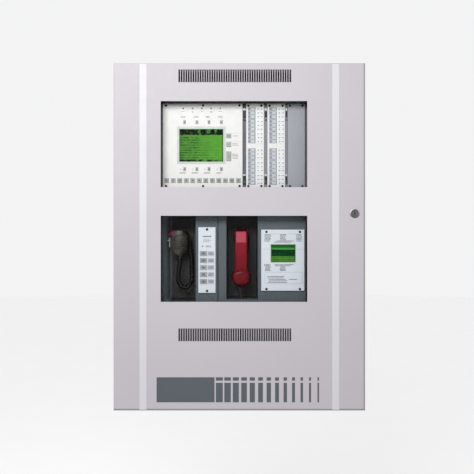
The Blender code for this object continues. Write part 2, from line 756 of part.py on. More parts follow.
def key_list():
    """Every push button as (name, x, z, width, height, whether it is on the page panel)."""
    keys = []
    for i in range(KEY_COUNT):
        x = KEY_X0 + i * KEY_PITCH
        keys.append((f"display_key_{i + 1:02d}", x, KEY_Z, KEY_SIZE, KEY_SIZE, False))
    for row, z in (("upper", UPPER_BUTTON_Z), ("lower", LOWER_BUTTON_Z)):
        for i, x in enumerate(BUTTON_X):
            keys.append((f"{row}_button_{i + 1}", x, z, *BUTTON_SIZE, False))
    for name, z, height in SIDE_KEYS:
        keys.append((name, SIDE_KEY_X, z, SIDE_KEY_WIDTH, height, False))
    for i in range(PAGE_BUTTON_COUNT):
        z = PAGE_BUTTON_Z0 - i * PAGE_BUTTON_PITCH
        keys.append((f"page_button_{i + 1}", PAGE_BUTTON_X, z, *PAGE_BUTTON_SIZE, True))
    return keys


def key_hole(key, front, wall):
    _, x, z, width, height, _ = key
    half_x, half_z = width / 2 + KEY_CLEARANCE, height / 2 + KEY_CLEARANCE
    deep = (front - CUT_PAST, front + wall + KEY_CLEARANCE)
    return (x - half_x, x + half_x), deep, (z - half_z, z + half_z)


def make_key(key, material):
    """A push button with a chamfered face and a flange that keeps it behind the panel."""
    name, x, z, width, height, on_page_panel = key
    front, wall = (PROUD_FACE, PROUD_WALL) if on_page_panel else (FACE, TRAY_WALL)
    proud = PAGE_KEY_PROUD if on_page_panel else KEY_PROUD
    seat = front + wall + GAP
    rect = (x - width / 2, x + width / 2, z - height / 2, z + height / 2)
    bm = bmesh.new()
    add_ring_shell(bm, [
        (*inset(rect, KEY_CHAMFER), front - proud),
        (*rect, front - proud + KEY_CHAMFER),
        (*rect, seat),
        (*inset(rect, -KEY_FLANGE), seat),
        (*inset(rect, -KEY_FLANGE), seat + KEY_FLANGE_THICKNESS),
    ])
    new_object(name, bm, material, (x, seat, z))


def make_screen(name, rect, front, wall, bezel, material):
    """A screen module that fills a hole in its panel, with a sunken face and a flange behind."""
    seat = front + wall + GAP
    proud = front - SCREEN_PROUD
    body = inset(rect, GAP)
    bm = bmesh.new()
    add_ring_shell(bm, [
        (*inset(body, bezel), proud + SCREEN_SUNK),
        (*inset(body, bezel), proud),
        (*body, proud),
        (*body, seat),
        (*inset(body, -SCREEN_FLANGE), seat),
        (*inset(body, -SCREEN_FLANGE), seat + SCREEN_FLANGE_THICKNESS),
    ])
    new_object(name, bm, material)


def make_display(finishes):
    rect = (*DISPLAY_X, *MODULE_Z)
    panel = tray("display_panel", rect, FACE, TRAY_REAR, TRAY_WALL, finishes["white_panel"])
    holes = [key_hole(key, FACE, TRAY_WALL) for key in key_list() if not key[5]]
    holes.append((LCD_X, (FACE - CUT_PAST, FACE + TRAY_WALL + KEY_CLEARANCE), LCD_Z))
    combine(panel, block_cutter("display_holes", holes), "DIFFERENCE")
    make_screen("display_lcd", (*LCD_X, *LCD_Z), FACE, TRAY_WALL, LCD_BEZEL, finishes["screen_green"])


def make_upper_modules(finishes):
    for name, x in ANNUNCIATOR_X.items():
        tray(name, (*x, *MODULE_Z), FACE, TRAY_REAR, TRAY_WALL, finishes["white_panel"])
    tray("blank_plate", (*BLANK_X, *MODULE_Z), FACE, TRAY_REAR, TRAY_WALL, finishes["blank_paint"])


def make_processor_board(finishes):
    """The board behind the display, on four posts that reach the panel, with its larger components."""
    bm = bmesh.new()
    add_block(bm, BOARD_X, BOARD_Y, BOARD_Z)
    board = new_object("processor_board", bm, finishes["board_green"])
    front, rear = FACE + TRAY_WALL + GAP, BOARD_Y[0] + JOIN_OVERLAP
    bm = bmesh.new()
    for x in BOARD_POST_X:
        for z in BOARD_POST_Z:
            post = [(0, front), (BOARD_POST_RADIUS, front), (BOARD_POST_RADIUS, rear), (0, rear)]
            add_turned(bm, post, (x, z), "Y", 10)
    combine(board, guide("board_posts", bm), "UNION")
    seat = BOARD_Y[1] - GAP
    components = [(x, (seat, BOARD_Y[1] + height), z) for x, height, z in BOARD_COMPONENTS]
    combine(board, block_cutter("board_components", components), "UNION")


def make_power_supply(finishes):
    """A vented steel case on the box's rear wall beside the modules, with a terminal strip below."""
    depth = (SUPPLY_FRONT, -SHEET - GAP)
    body = block_object("power_supply", finishes["zinc"], SUPPLY_X, depth, SUPPLY_Z)
    strip_x = (SUPPLY_X[0] + TERMINAL_INSET, SUPPLY_X[1] - TERMINAL_INSET)
    strip = (strip_x, TERMINAL_Y, (SUPPLY_Z[0] - TERMINAL_DROP, SUPPLY_Z[0] + JOIN_OVERLAP))
    combine(body, block_cutter("terminal_strip", [strip]), "UNION")
    slot_x = (SUPPLY_X[0] + LOUVRE_INSET, SUPPLY_X[1] - LOUVRE_INSET)
    slots = []
    for i in range(LOUVRE_COUNT):
        low = SUPPLY_Z[0] + LOUVRE_START + i * LOUVRE_PITCH
        deep = (SUPPLY_FRONT - CUT_PAST, SUPPLY_FRONT + LOUVRE_DEPTH)
        slots.append((slot_x, deep, (low, low + LOUVRE_HEIGHT)))
    combine(body, block_cutter("supply_louvres", slots), "DIFFERENCE")


def make_batteries(finishes):
    """Two sealed standby batteries on the box's floor, each with a stepped lid and two tabs."""
    floor = -BOX_HEIGHT / 2 + SHEET + GAP
    top = floor + BATTERY_HEIGHT
    rear = -BATTERY_FROM_WALL
    front = rear - BATTERY_DEPTH
    for name, left in BATTERY_LEFT.items():
        right = left + BATTERY_WIDTH
        battery = block_object(name, finishes["battery_case"], (left, right), (front, rear), (floor, top))
        lid_x = (left + LID_INSET, right - LID_INSET)
        lid = (lid_x, (front + LID_INSET, rear - LID_INSET), (top - JOIN_OVERLAP, top + LID_HEIGHT))
        combine(battery, block_cutter(name + "_lid", [lid]), "UNION")
        tab_y = (front + TAB_WIDTH, front + TAB_WIDTH + TAB_DEPTH)
        tab_z = (top + LID_HEIGHT - JOIN_OVERLAP, top + LID_HEIGHT + TAB_HEIGHT)
        starts = (left + TAB_FROM_SIDE, right - TAB_FROM_SIDE - TAB_WIDTH)
        tabs = [((start, start + TAB_WIDTH), tab_y, tab_z) for start in starts]
        combine(battery, block_cutter(name + "_tabs", tabs), "UNION")


def fascia(name, plate_x, bay_front, bay_rear, material):
    """A lower module: a tray whose face folds in at the bay's mouth and runs back to the bay's floor."""
    plate = (*plate_x, *FASCIA_Z)
    soft = TRAY_WALL / 3
    bm = bmesh.new()
    add_ring_shell(bm, [
        (*bay_rear, BAY_BACK),
        (*bay_front, FACE),
        (*inset(plate, soft), FACE),
        (*plate, FACE + soft),
        (*plate, TRAY_REAR),
        (*inset(plate, TRAY_WALL), TRAY_REAR),
        (*inset(plate, TRAY_WALL), FACE + TRAY_WALL),
        (*inset(bay_front, -SHEET), FACE + TRAY_WALL),
        (*inset(bay_rear, -SHEET), BAY_BACK + SHEET),
    ])
    return new_object(name, bm, material)


def make_paging_unit(finishes):
    """The microphone's bay, with its clip and the curly cord's gland joined to it."""
    unit = fascia("paging_fascia", PAGING_X, MIC_BAY_FRONT, MIC_BAY_REAR, finishes["dark_paint"])
    root = BAY_BACK + GAP
    clip = {
        "clip_arm": (CLIP_ARM_X, (CLIP_PLATE_Y[0] + GAP, root), CLIP_ARM_Z),
        "clip_plate": (CLIP_PLATE_X, CLIP_PLATE_Y, CLIP_Z),
        "clip_finger": (CLIP_FINGER_X, (CLIP_FINGER_FRONT, CLIP_PLATE_Y[1] - GAP), CLIP_Z),
    }
    for name, limits in clip.items():
        combine(unit, block_cutter(name, [limits]), "UNION")
    inner = CLIP_FINGER_X[0] + GAP
    stud = [(0, CLIP_STUD_END), (CLIP_STUD_RADIUS, CLIP_STUD_END), (CLIP_STUD_RADIUS, inner), (0, inner)]
    bm = bmesh.new()
    add_turned(bm, stud, CLIP_STUD_PLACE, "X", 12)
    combine(unit, guide("clip_stud", bm), "UNION")
    x, _, z = MIC_CORD_ROUTE[-1]
    gland = [(0, root), (GLAND_BASE_RADIUS, root), (GLAND_TIP_RADIUS, GLAND_FRONT), (0, GLAND_FRONT)]
    bm = bmesh.new()
    add_turned(bm, gland, (x, z), "Y", 16)
    combine(unit, guide("mic_gland", bm), "UNION")


def make_phone_unit(finishes):
    """The handset's recess, holed for its cord, with the cord's socket behind the face."""
    unit = fascia("phone_fascia", PHONE_X, PHONE_BAY_FRONT, PHONE_BAY_REAR, finishes["dark_paint"])
    radius = HANDSET_CORD_DIAMETER / 2 + SHEET
    low, high = PHONE_BAY_FRONT[2] - CUT_PAST, PHONE_BAY_FRONT[2] + CUT_PAST
    hole = [(0, low), (radius, low), (radius, high), (0, high)]
    bm = bmesh.new()
    add_turned(bm, hole, (HANDSET_X, HANDSET_CORD_Y), "Z", 16)
    combine(unit, guide("cord_hole_cutter", bm), "DIFFERENCE")
    x = HANDSET_CORD_ROUTE[-1][0]
    socket_x = (x - CORD_SOCKET_HALF_WIDTH, x + CORD_SOCKET_HALF_WIDTH)
    combine(unit, block_cutter("phone_socket", [(socket_x, CORD_SOCKET_Y, CORD_SOCKET_Z)]), "UNION")


def make_proud_panels(finishes):
    rear = FACE - GAP
    panel = tray("page_switch_panel", PAGE_PANEL, PROUD_FACE, rear, PROUD_WALL, finishes["white_panel"])
    holes = [key_hole(key, PROUD_FACE, PROUD_WALL) for key in key_list() if key[5]]
    combine(panel, block_cutter("page_holes", holes), "DIFFERENCE")
    panel = tray("phone_panel", PHONE_PANEL, PROUD_FACE, rear, PROUD_WALL, finishes["white_panel"])
    deep = (PROUD_FACE - CUT_PAST, PROUD_FACE + PROUD_WALL + KEY_CLEARANCE)
    hole = (PHONE_LCD[:2], deep, PHONE_LCD[2:])
    combine(panel, block_cutter("phone_lcd_hole", [hole]), "DIFFERENCE")
    green = finishes["screen_green"]
    make_screen("phone_lcd", PHONE_LCD, PROUD_FACE, PROUD_WALL, PHONE_LCD_BEZEL, green)


def make_handset(finishes):
    """A bar that leans back towards both ends, with a round earpiece and mouthpiece and a boss below."""
    bm = bmesh.new()
    add_prism(bm, HANDSET_SIDE, "X", HANDSET_X - GRIP_HALF_WIDTH, HANDSET_X + GRIP_HALF_WIDTH)
    handset = smooth(new_object("handset", bm, finishes["handset_red"], (HANDSET_X, HANDSET_CORD_Y, 0)))
    bevel(handset, GRIP_EDGE, 2)
    ends = {
        "handset_earpiece": (EARPIECE_Z, EARPIECE_RADIUS, EARPIECE_Y),
        "handset_mouthpiece": (MOUTHPIECE_Z, MOUTHPIECE_RADIUS, MOUTHPIECE_Y),
    }
    for name, (z, radius, (front, rear)) in ends.items():
        profile = [
            (0, front),
            (radius * 0.45, front + radius * 0.02),
            (radius * 0.75, front + radius * 0.12),
            (radius * 0.93, front + radius * 0.30),
            (radius, front + radius * 0.50),
            (radius, rear - radius * 0.20),
            (radius * 0.90, rear),
            (0, rear),
        ]
        bm = bmesh.new()
        add_turned(bm, profile, (HANDSET_X, z), "Y", 28)
        combine(handset, guide(name, bm), "UNION")
    foot = HANDSET_CORD_DIAMETER * 0.70
    top = HANDSET_CORD_DIAMETER * 0.95
    boss = [(0, HANDSET_FOOT_Z), (foot, HANDSET_FOOT_Z), (top, HANDSET_BOSS_Z), (0, HANDSET_BOSS_Z)]
    bm = bmesh.new()
    add_turned(bm, boss, (HANDSET_X, HANDSET_CORD_Y), "Z", 14)
    combine(handset, guide("handset_boss", bm), "UNION")


def make_cradle_switch(finishes):
    """The hook-switch lever that the earpiece rests on; it rises when the handset is lifted."""
    top = EARPIECE_Z - EARPIECE_RADIUS - GAP
    rear = BAY_BACK - GAP
    nose = SWITCH_TIP_Y + SWITCH_NOSE
    outline = [
        (rear, top - SWITCH_HEEL_DROP),
        (rear, top),
        (nose, top),
        (SWITCH_TIP_Y, top - SWITCH_NOSE),
        (nose, top - SWITCH_NOSE_THICKNESS),
        (rear - SWITCH_HEEL_LENGTH, top - SWITCH_THICKNESS),
    ]
    bm = bmesh.new()
    add_prism(bm, outline, "X", HANDSET_X - SWITCH_HALF_WIDTH, HANDSET_X + SWITCH_HALF_WIDTH)
    new_object("cradle_switch", bm, finishes["steel"], (HANDSET_X, BAY_BACK, top))


def add_oval_body(bm, sections, centre, segments, power):
    """A closed body through level superellipses, each given as (z, half width, half depth)."""
    loops = []
    for z, half_x, half_y in sections:
        loop = []
        for i in range(segments):
            angle = 2 * math.pi * i / segments
            c, s = math.cos(angle), math.sin(angle)
            x = centre[0] + half_x * math.copysign(abs(c) ** power, c)
            y = centre[1] + half_y * math.copysign(abs(s) ** power, s)
            loop.append(bm.verts.new((x, y, z)))
        loops.append(loop)
    for one, two in zip(loops, loops[1:]):
        for i in range(segments):
            j = (i + 1) % segments
            bm.faces.new((one[i], one[j], two[j], two[i]))
    bm.faces.new(loops[0])
    bm.faces.new(loops[-1])


def make_microphone(finishes):
    """A round-headed microphone that narrows to its cord, with its talk button in a socket."""
    bm = bmesh.new()
    add_oval_body(bm, MIC_SECTIONS, (MIC_X, MIC_Y), MIC_SIDES, MIC_SQUARENESS)
    body = smooth(new_object("microphone", bm, finishes["black_plastic"], (MIC_X, MIC_Y, MIC_FOOT_Z)))
    reach, radius = TALK_REACH, TALK_RADIUS
    button = [
        (0, -reach),
        (radius * 0.60, -reach + radius * 0.06),
        (radius * 0.88, -reach + radius * 0.20),
        (radius, -reach + radius * 0.45),
        (radius, -TALK_SEAT),
        (0, -TALK_SEAT),
    ]
    place = Matrix.Translation((MIC_X, MIC_Y, TALK_CENTRE_Z)) @ Matrix.Rotation(TALK_LEAN, 4, "Y")
    bm = bmesh.new()
    add_turned(bm, button, (0, 0), "X", 20)
    bmesh.ops.transform(bm, matrix=place, verts=bm.verts)
    smooth(new_object("talk_button", bm, finishes["talk_red"], (MIC_X, MIC_Y, TALK_CENTRE_Z)))
    outside, floor, wide = -reach - CUT_PAST, -TALK_SEAT + TALK_TRAVEL_SPACE, radius + GAP
    socket = [(0, outside), (wide, outside), (wide, floor), (0, floor)]
    bm = bmesh.new()
    add_turned(bm, socket, (0, 0), "X", 20)
    bmesh.ops.transform(bm, matrix=place, verts=bm.verts)
    combine(body, guide("talk_socket", bm), "DIFFERENCE")


def smooth_route(route, spacing):
    """Evenly spaced points on a Catmull-Rom curve through a route's own points."""
    points = [Vector(p) for p in route]
    ends = [2 * points[0] - points[1], *points, 2 * points[-1] - points[-2]]
    fine = []
    for a, b, c, d in zip(ends, ends[1:], ends[2:], ends[3:]):
        for k in range(ROUTE_STEPS):
            t = k / ROUTE_STEPS
            fine.append(0.5 * (2 * b + (c - a) * t + (2 * a - 5 * b + 4 * c - d) * t**2
                               + (3 * b - a - 3 * c + d) * t**3))
    fine.append(points[-1])
    lengths = [0.0]
    for one, two in zip(fine, fine[1:]):
        lengths.append(lengths[-1] + (two - one).length)
    count = max(2, round(lengths[-1] / spacing))
    even, at = [], 0
    for k in range(count + 1):
        target = lengths[-1] * k / count
        while at < len(fine) - 2 and lengths[at + 1] < target:
            at += 1
        share = (target - lengths[at]) / (lengths[at + 1] - lengths[at])
        even.append(fine[at].lerp(fine[at + 1], min(1.0, share)))
    return even


def make_cord(name, route, diameter, spacing, material):
    curve = bpy.data.curves.new(name, "CURVE")
    curve.dimensions = "3D"
    curve.bevel_depth = diameter / 2
    curve.bevel_resolution = 2
    curve.use_fill_caps = True
    points = smooth_route(route, spacing)
    spline = curve.splines.new("POLY")
    spline.points.add(len(points) - 1)
    for place, point in zip(spline.points, points):
        place.co = (*point, 1)
    curve.materials.append(material)
    bpy.context.scene.collection.objects.link(bpy.data.objects.new(name, curve))


def main():
    for obj in list(bpy.data.objects):
        bpy.data.objects.remove(obj)
    finishes = make_finishes()
    make_backbox(finishes)
    make_door(finishes)
    make_panes(finishes)
    make_pane_retainer(finishes)
    make_hinge(finishes)
    make_lock(finishes)
    make_chassis(finishes)
    make_display(finishes)
    make_upper_modules(finishes)
    make_processor_board(finishes)
    make_power_supply(finishes)
    make_batteries(finishes)
    make_paging_unit(finishes)
    make_phone_unit(finishes)
    make_proud_panels(finishes)
    for key in key_list():
        make_key(key, finishes["key_grey"])
    make_handset(finishes)
    make_cradle_switch(finishes)
    make_microphone(finishes)
    make_cord("mic_cord", MIC_CORD_ROUTE, CURLY_CORD_DIAMETER, MIC_CORD_SPACING, finishes["cord_black"])
    lead = (HANDSET_CORD_ROUTE, HANDSET_CORD_DIAMETER, HANDSET_CORD_SPACING)
    make_cord("handset_cord", *lead, finishes["cord_red"])


main()
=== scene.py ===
"""Looks for the wall-mounted fire alarm control panel, on its CAD frame. Metres, +Z up."""

import math
import random

import bmesh
import bpy
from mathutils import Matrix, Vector


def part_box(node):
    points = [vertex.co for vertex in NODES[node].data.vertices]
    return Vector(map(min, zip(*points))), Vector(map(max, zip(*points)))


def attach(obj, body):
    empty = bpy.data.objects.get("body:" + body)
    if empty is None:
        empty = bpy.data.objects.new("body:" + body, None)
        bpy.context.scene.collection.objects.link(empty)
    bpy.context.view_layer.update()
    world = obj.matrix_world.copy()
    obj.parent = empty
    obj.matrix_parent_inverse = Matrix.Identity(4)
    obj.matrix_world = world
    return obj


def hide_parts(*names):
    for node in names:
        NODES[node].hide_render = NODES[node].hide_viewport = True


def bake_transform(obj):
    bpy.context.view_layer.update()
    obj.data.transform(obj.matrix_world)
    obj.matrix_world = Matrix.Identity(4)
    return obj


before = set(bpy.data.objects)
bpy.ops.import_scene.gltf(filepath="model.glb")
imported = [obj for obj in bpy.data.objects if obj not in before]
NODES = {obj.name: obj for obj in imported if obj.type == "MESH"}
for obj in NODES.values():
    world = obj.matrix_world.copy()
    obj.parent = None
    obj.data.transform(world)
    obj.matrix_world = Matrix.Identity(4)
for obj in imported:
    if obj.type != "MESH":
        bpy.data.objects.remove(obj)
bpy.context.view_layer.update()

# Camera: in front of the panel, level with its middle
CAMERA_PLACE = (-0.0071, -2.480, -0.0006)
LENS = 57.8

# Studio: an even pale backdrop, one soft light from the upper left and a round floor
BACKDROP = (0.90, 0.90, 0.905, 1)
KEY_PLACE = (-0.48, -1.80, 0.86)
KEY_AIM = (0.0, -0.17, 0.30)
KEY_SIZE = (1.0, 0.6)
KEY_POWER = 42
FLOOR_Z = -1.35
FLOOR_RADIUS = 14.0
FLOOR_RIM = 0.4
FLOOR_SIDES = 96

# Planes that pieces lie on, and a few sizes of the CAD's own parts
DOOR_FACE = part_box("outer_door")[0].y
PANEL_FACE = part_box("display_panel")[0].y
PROUD_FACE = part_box("page_switch_panel")[0].y
LIFT = 0.00003
SCREEN_FLANGE = 0.002
SCREEN_SUNK = 0.0012
DISPLAY_BEZEL = 0.0068
PHONE_BEZEL = 0.0004
BAY_WALL_WIDTH = 0.0310
MOUTHPIECE_EXTRA = 0.0075
SKIN = 0.0008

# Print, in thickness over the face it lies on
INK = 0.00005
MARK_INK = 0.00006
ROW_INK = 0.00004
LABEL = 0.0002

# Pan head screws: rings as shares of radius and height, and the sunk cross as shares of the same
SCREW_SIDES = 24
SCREW_HEIGHT = 0.0013
SCREW_PROFILE = ((1, 0), (1, 0.35), (0.93, 0.72), (0.76, 0.93), (0.60, 1), (0.42, 1), (0.22, 1))
CROSS_REACH = 0.7
CROSS_HALF_WIDTH = 0.13
CROSS_DEPTH = 0.55

# Cords, as in the part's source
WIRE_RADIUS = 0.00225
COIL_RADIUS = 0.00525
COIL_PITCH = 0.0051
COIL_SIDES = 14
COIL_LEAD = 0.014
HANDSET_CORD_RADIUS = 0.003
HANDSET_CORD_STEP = 0.006
MIC_CORD_ROUTE = (
    (-0.1850, -0.1000, -0.0603),
    (-0.1858, -0.1000, -0.0800),
    (-0.1900, -0.0995, -0.1130),
    (-0.1895, -0.0980, -0.1400),
    (-0.1700, -0.0955, -0.1610),
    (-0.1505, -0.0925, -0.1400),
    (-0.1490, -0.0885, -0.1100),
    (-0.1500, -0.0820, -0.0800),
    (-0.1515, -0.0770, -0.0550),
    (-0.1535, -0.0752, -0.0340),
    (-0.1555, -0.0724, -0.0190),
    (-0.1560, -0.0660, -0.0102),
    (-0.1560, -0.0620, -0.0100),
    (-0.1560, -0.0583, -0.0100),
)
HANDSET_CORD_ROUTE = (
    (0.0056, -0.1060, -0.1583),
    (0.0056, -0.1060, -0.2000),
    (0.0056, -0.1060, -0.3000),
    (0.0050, -0.1065, -0.4000),
    (-0.0030, -0.1075, -0.4550),
    (-0.0245, -0.1080, -0.4800),
    (-0.0460, -0.1075, -0.4550),
    (-0.0540, -0.1065, -0.4000),
    (-0.0545, -0.1060, -0.3000),
    (-0.0545, -0.1060, -0.1973),
)


# ---- camera, light and stage

def make_camera():
    data = bpy.data.cameras.new("camera")
    data.lens = LENS
    camera = bpy.data.objects.new("camera", data)
    camera.location = CAMERA_PLACE
    camera.rotation_euler = (math.radians(90), 0, 0)
    bpy.context.scene.collection.objects.link(camera)
    bpy.context.scene.camera = camera


def make_key_light():
    data = bpy.data.lights.new("key", "AREA")
    data.shape = "RECTANGLE"
    data.size, data.size_y = KEY_SIZE
    data.energy = KEY_POWER
    light = bpy.data.objects.new("key", data)
    light.location = KEY_PLACE
    light.visible_camera = False
    light.rotation_euler = (Vector(KEY_AIM) - Vector(KEY_PLACE)).to_track_quat("-Z", "Y").to_euler()
    bpy.context.scene.collection.objects.link(light)


def make_stage():
    """An even backdrop, the key light and a floor whose rim curves up far outside the view."""
    world = bpy.data.worlds.new("studio")
    world.use_nodes = True
    sky = world.node_tree.nodes["Background"]
    sky.inputs["Color"].default_value = BACKDROP
    sky.inputs["Strength"].default_value = 1.0
    bpy.context.scene.world = world
    make_key_light()
    bm = bmesh.new()
    angles = [2 * math.pi * i / FLOOR_SIDES for i in range(FLOOR_SIDES)]
    rings = []
    for step in range(6):
        turn = math.radians(18 * step)
        reach = FLOOR_RADIUS + FLOOR_RIM * math.sin(turn)
        height = FLOOR_Z + FLOOR_RIM * (1 - math.cos(turn)) * 0.2
        rings.append([(reach * math.cos(a), reach * math.sin(a), height) for a in angles])
    bm.faces.new(add_skin(bm, rings)[0])
    new_mesh("studio_floor", bm, M["floor"])


# ---- meshes

def new_mesh(name, bm, material, smooth=False):
    bmesh.ops.recalc_face_normals(bm, faces=bm.faces)
    mesh = bpy.data.meshes.new(name)
    bm.to_mesh(mesh)
    bm.free()
    mesh.materials.append(material)
    obj = bpy.data.objects.new(name, mesh)
    bpy.context.scene.collection.objects.link(obj)
    if smooth:
        mesh.shade_smooth()
        mesh.set_sharp_from_angle(angle=math.radians(40))
    return obj


def piece(name, bm, material, smooth=False, body="root"):
    """A finished piece of the object that rides on a body."""
    obj = new_mesh(name, bm, M[material], smooth)
    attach(obj, body)
    return obj


def add_skin(bm, rings):
    """Joins rings of points, all of one count, and gives their vertices."""
    loops = [[bm.verts.new(p) for p in ring] for ring in rings]
    for one, two in zip(loops, loops[1:]):
        for i in range(len(one)):
            j = (i + 1) % len(one)
            bm.faces.new((one[i], one[j], two[j], two[i]))
    return loops


def add_rings(bm, rings):
    """A closed body through rings of points."""
    loops = add_skin(bm, rings)
    bm.faces.new(loops[0])
    bm.faces.new(loops[-1])


def rounded(x0, x1, z0, z1, y, radius, steps):
    """The points of a rectangle with round corners in the plane y."""
    radius = max(min(radius, (x1 - x0) / 2.01, (z1 - z0) / 2.01), 1e-6)
    corners = ((x1 - radius, z1 - radius, 0), (x0 + radius, z1 - radius, 90),
               (x0 + radius, z0 + radius, 180), (x1 - radius, z0 + radius, 270))
    points = []
    for cx, cz, start in corners:
        for k in range(steps + 1):
            turn = math.radians(start + 90 * k / steps)
            points.append((cx + radius * math.cos(turn), y, cz + radius * math.sin(turn)))
    return points


def add_plate(bm, x0, x1, z0, z1, face, thickness, radius=0.0008, soft=0.25, steps=2):
    """A plate lying on the plane y = face, with round corners and a softened front edge."""
    front = face - LIFT - thickness
    edge = thickness * soft
    add_rings(bm, [
        rounded(x0, x1, z0, z1, face - LIFT, radius, steps),
        rounded(x0, x1, z0, z1, front + edge, radius, steps),
        rounded(x0 + edge, x1 - edge, z0 + edge, z1 - edge, front, radius, steps),
    ])


def add_turned(bm, centre, axis, profile, count):
    """Rings of (radius, distance along axis) round a centre, capped at both ends."""
    along = "XYZ".index(axis)
    one, two = (k for k in range(3) if k != along)
    rings = []
    for radius, distance in profile:
        ring = []
        for i in range(count):
            angle = 2 * math.pi * i / count
            point = list(centre)
            point[along] += distance
            point[one] += radius * math.cos(angle)
            point[two] += radius * math.sin(angle)
            ring.append(point)
        rings.append(ring)
    add_rings(bm, rings)


def add_screw(bm, x, z, face, radius, turn, height=SCREW_HEIGHT):
    """A pan head on the plane y = face, with a cross sunk in it."""
    rings = []
    for share, rise in SCREW_PROFILE:
        ring = []
        for i in range(SCREW_SIDES):
            angle = 2 * math.pi * i / SCREW_SIDES
            r = radius * share
            arm = min(abs(math.sin(angle)), abs(math.cos(angle))) * r
            sunk = share < CROSS_REACH and arm < radius * CROSS_HALF_WIDTH
            y = face - LIFT - height * rise + (height * CROSS_DEPTH if sunk else 0.0)
            ring.append((x + r * math.cos(angle + turn), y, z + r * math.sin(angle + turn)))
        rings.append(ring)
    loops = add_skin(bm, rings)
    bm.faces.new(loops[0])
    middle = bm.verts.new((x, face - LIFT - height * (1 - CROSS_DEPTH), z))
    for one, two in zip(loops[-1], loops[-1][1:] + loops[-1][:1]):
        bm.faces.new((one, two, middle))


def make_screws(name, spots, face, radius, rng):
    """Black screws, each turned its own way."""
    bm = bmesh.new()
    for x, z in spots:
        add_screw(bm, x, z, face, radius, rng.uniform(0, 1.5))
    piece(name, bm, "screw_black", True)


def add_dome(bm, x, z, face, radius, height, count=16):
    """A lamp's lens on its collar."""
    profile = [(radius * 1.12, 0.0), (radius * 1.12, -height * 0.15), (radius, -height * 0.22)]
    for step in range(1, 4):
        turn = math.radians(90 * step / 3.4)
        profile.append((radius * math.cos(turn), -height * (0.22 + 0.78 * math.sin(turn))))
    add_turned(bm, (x, face - LIFT, z), "Y", profile, count)


def add_ink(bm, x0, x1, z0, z1, face, rise=INK, radius=0.0001):
    """A printed rule or block."""
    add_plate(bm, x0, x1, z0, z1, face, rise, radius, 0.5, 1)


def add_marks(bm, x0, x1, z, face, rng, height, lines=1, pitch=0.0026):
    """Rows of short dashes of uneven length, which stand for small print and spell nothing."""
    for line in range(lines):
        at = x0 + rng.uniform(0, 0.15) * (x1 - x0)
        stop = x1 - rng.uniform(0, 0.18) * (x1 - x0)
        level = z - line * pitch
        while at < stop - 0.0008:
            end = min(stop, at + rng.uniform(0.0014, 0.0052))
            add_ink(bm, at, end, level - height / 2, level + height / 2, face, MARK_INK, 0.0003)
            at = end + rng.uniform(0.0006, 0.0012)


# ---- materials

# Share of a colour, as it looks in the studio's light, that the paint itself has
SHADE = 0.53
GLASS_GLOSS = 0.03


def linear(value):
    share = value / 255
    return share / 12.92 if share <= 0.04045 else ((share + 0.055) / 1.055) ** 2.4


def rgb(r, g, b):
    """A colour as it looks under the studio's light, as the paint's own colour."""
    return tuple(SHADE * linear(c) for c in (r, g, b)) + (1.0,)


class Nodes:
    """A short way to build one material's node tree on object coordinates."""

    def __init__(self, name):
        self.material = bpy.data.materials.new(name)
        self.material.use_nodes = True
        self.tree = self.material.node_tree
        self.shader = self.tree.nodes["Principled BSDF"]
        self.coordinates = self.tree.nodes.new("ShaderNodeTexCoord")
        M[name] = self.material

    def link(self, source, target):
        self.tree.links.new(source, target)

    def value(self, socket, given):
        if isinstance(given, bpy.types.NodeSocket):
            self.link(given, socket)
        else:
            socket.default_value = given

    def add(self, kind, **values):
        """A new node, whose inputs take numbers, colours or other nodes' sockets."""
        node = self.tree.nodes.new("ShaderNode" + kind)
        for key, given in values.items():
            self.value(node.inputs[key.replace("_", " ")], given)
        return node

    def math(self, operation, a, b=0.0):
        node = self.add("Math")
        node.operation = operation
        self.value(node.inputs[0], a)
        self.value(node.inputs[1], b)
        return node.outputs[0]

    def times(self, a, b):
        return self.math("MULTIPLY", a, b)

    def place(self, stretch):
        return self.add("Mapping", Vector=self.coordinates.outputs["Object"], Scale=stretch).outputs[0]

    def axes(self, source="Object"):
        return self.add("SeparateXYZ", Vector=self.coordinates.outputs[source]).outputs

    def noise(self, scale, detail=2.0, rough=0.5, stretch=(1, 1, 1)):
        node = self.add("TexNoise", Vector=self.place(stretch), Scale=scale, Detail=detail, Roughness=rough)
        return node.outputs["Fac"]

    def cells(self, scale, stretch=(1, 1, 1), feature="F1", output="Color"):
        node = self.add("TexVoronoi")
        node.feature = feature
        self.link(self.place(stretch), node.inputs["Vector"])
        node.inputs["Scale"].default_value = scale
        return node.outputs[output]

    def spread(self, source, low, high, start=0.3, end=0.7):
        """Goes straight from low to high while the source goes from start to end."""
        node = self.add("MapRange", Value=source, From_Min=start, From_Max=end, To_Min=low, To_Max=high)
        return node.outputs[0]

    def ramp(self, source, start, end):
        return self.spread(source, 0.0, 1.0, start, end)

    def mix(self, share, one, two):
        node = self.add("Mix")
        node.data_type = "RGBA"
        self.value(node.inputs["Factor"], share)
        self.value(node.inputs["A"], one)
        self.value(node.inputs["B"], two)
        return node.outputs["Result"]

    def bump(self, height, strength, distance):
        node = self.add("Bump", Strength=strength, Distance=distance, Height=height)
        self.link(node.outputs[0], self.shader.inputs["Normal"])

    def set(self, **values):
        for key, given in values.items():
            self.value(self.shader.inputs[key.replace("_", " ")], given)

    def paint(self):
        """The colour that the shader has so far."""
        return self.shader.inputs["Base Color"].links[0].from_socket


# Materials by name
M = {}


def tones(colour, spread, lighter=None):
    """A colour's darker and lighter tone."""
    dark = [c * (1 - spread) for c in colour[:3]]
    light = [min(1.0, c * (1 + (lighter or spread))) for c in colour[:3]]
    return (*dark, 1.0), (*light, 1.0)


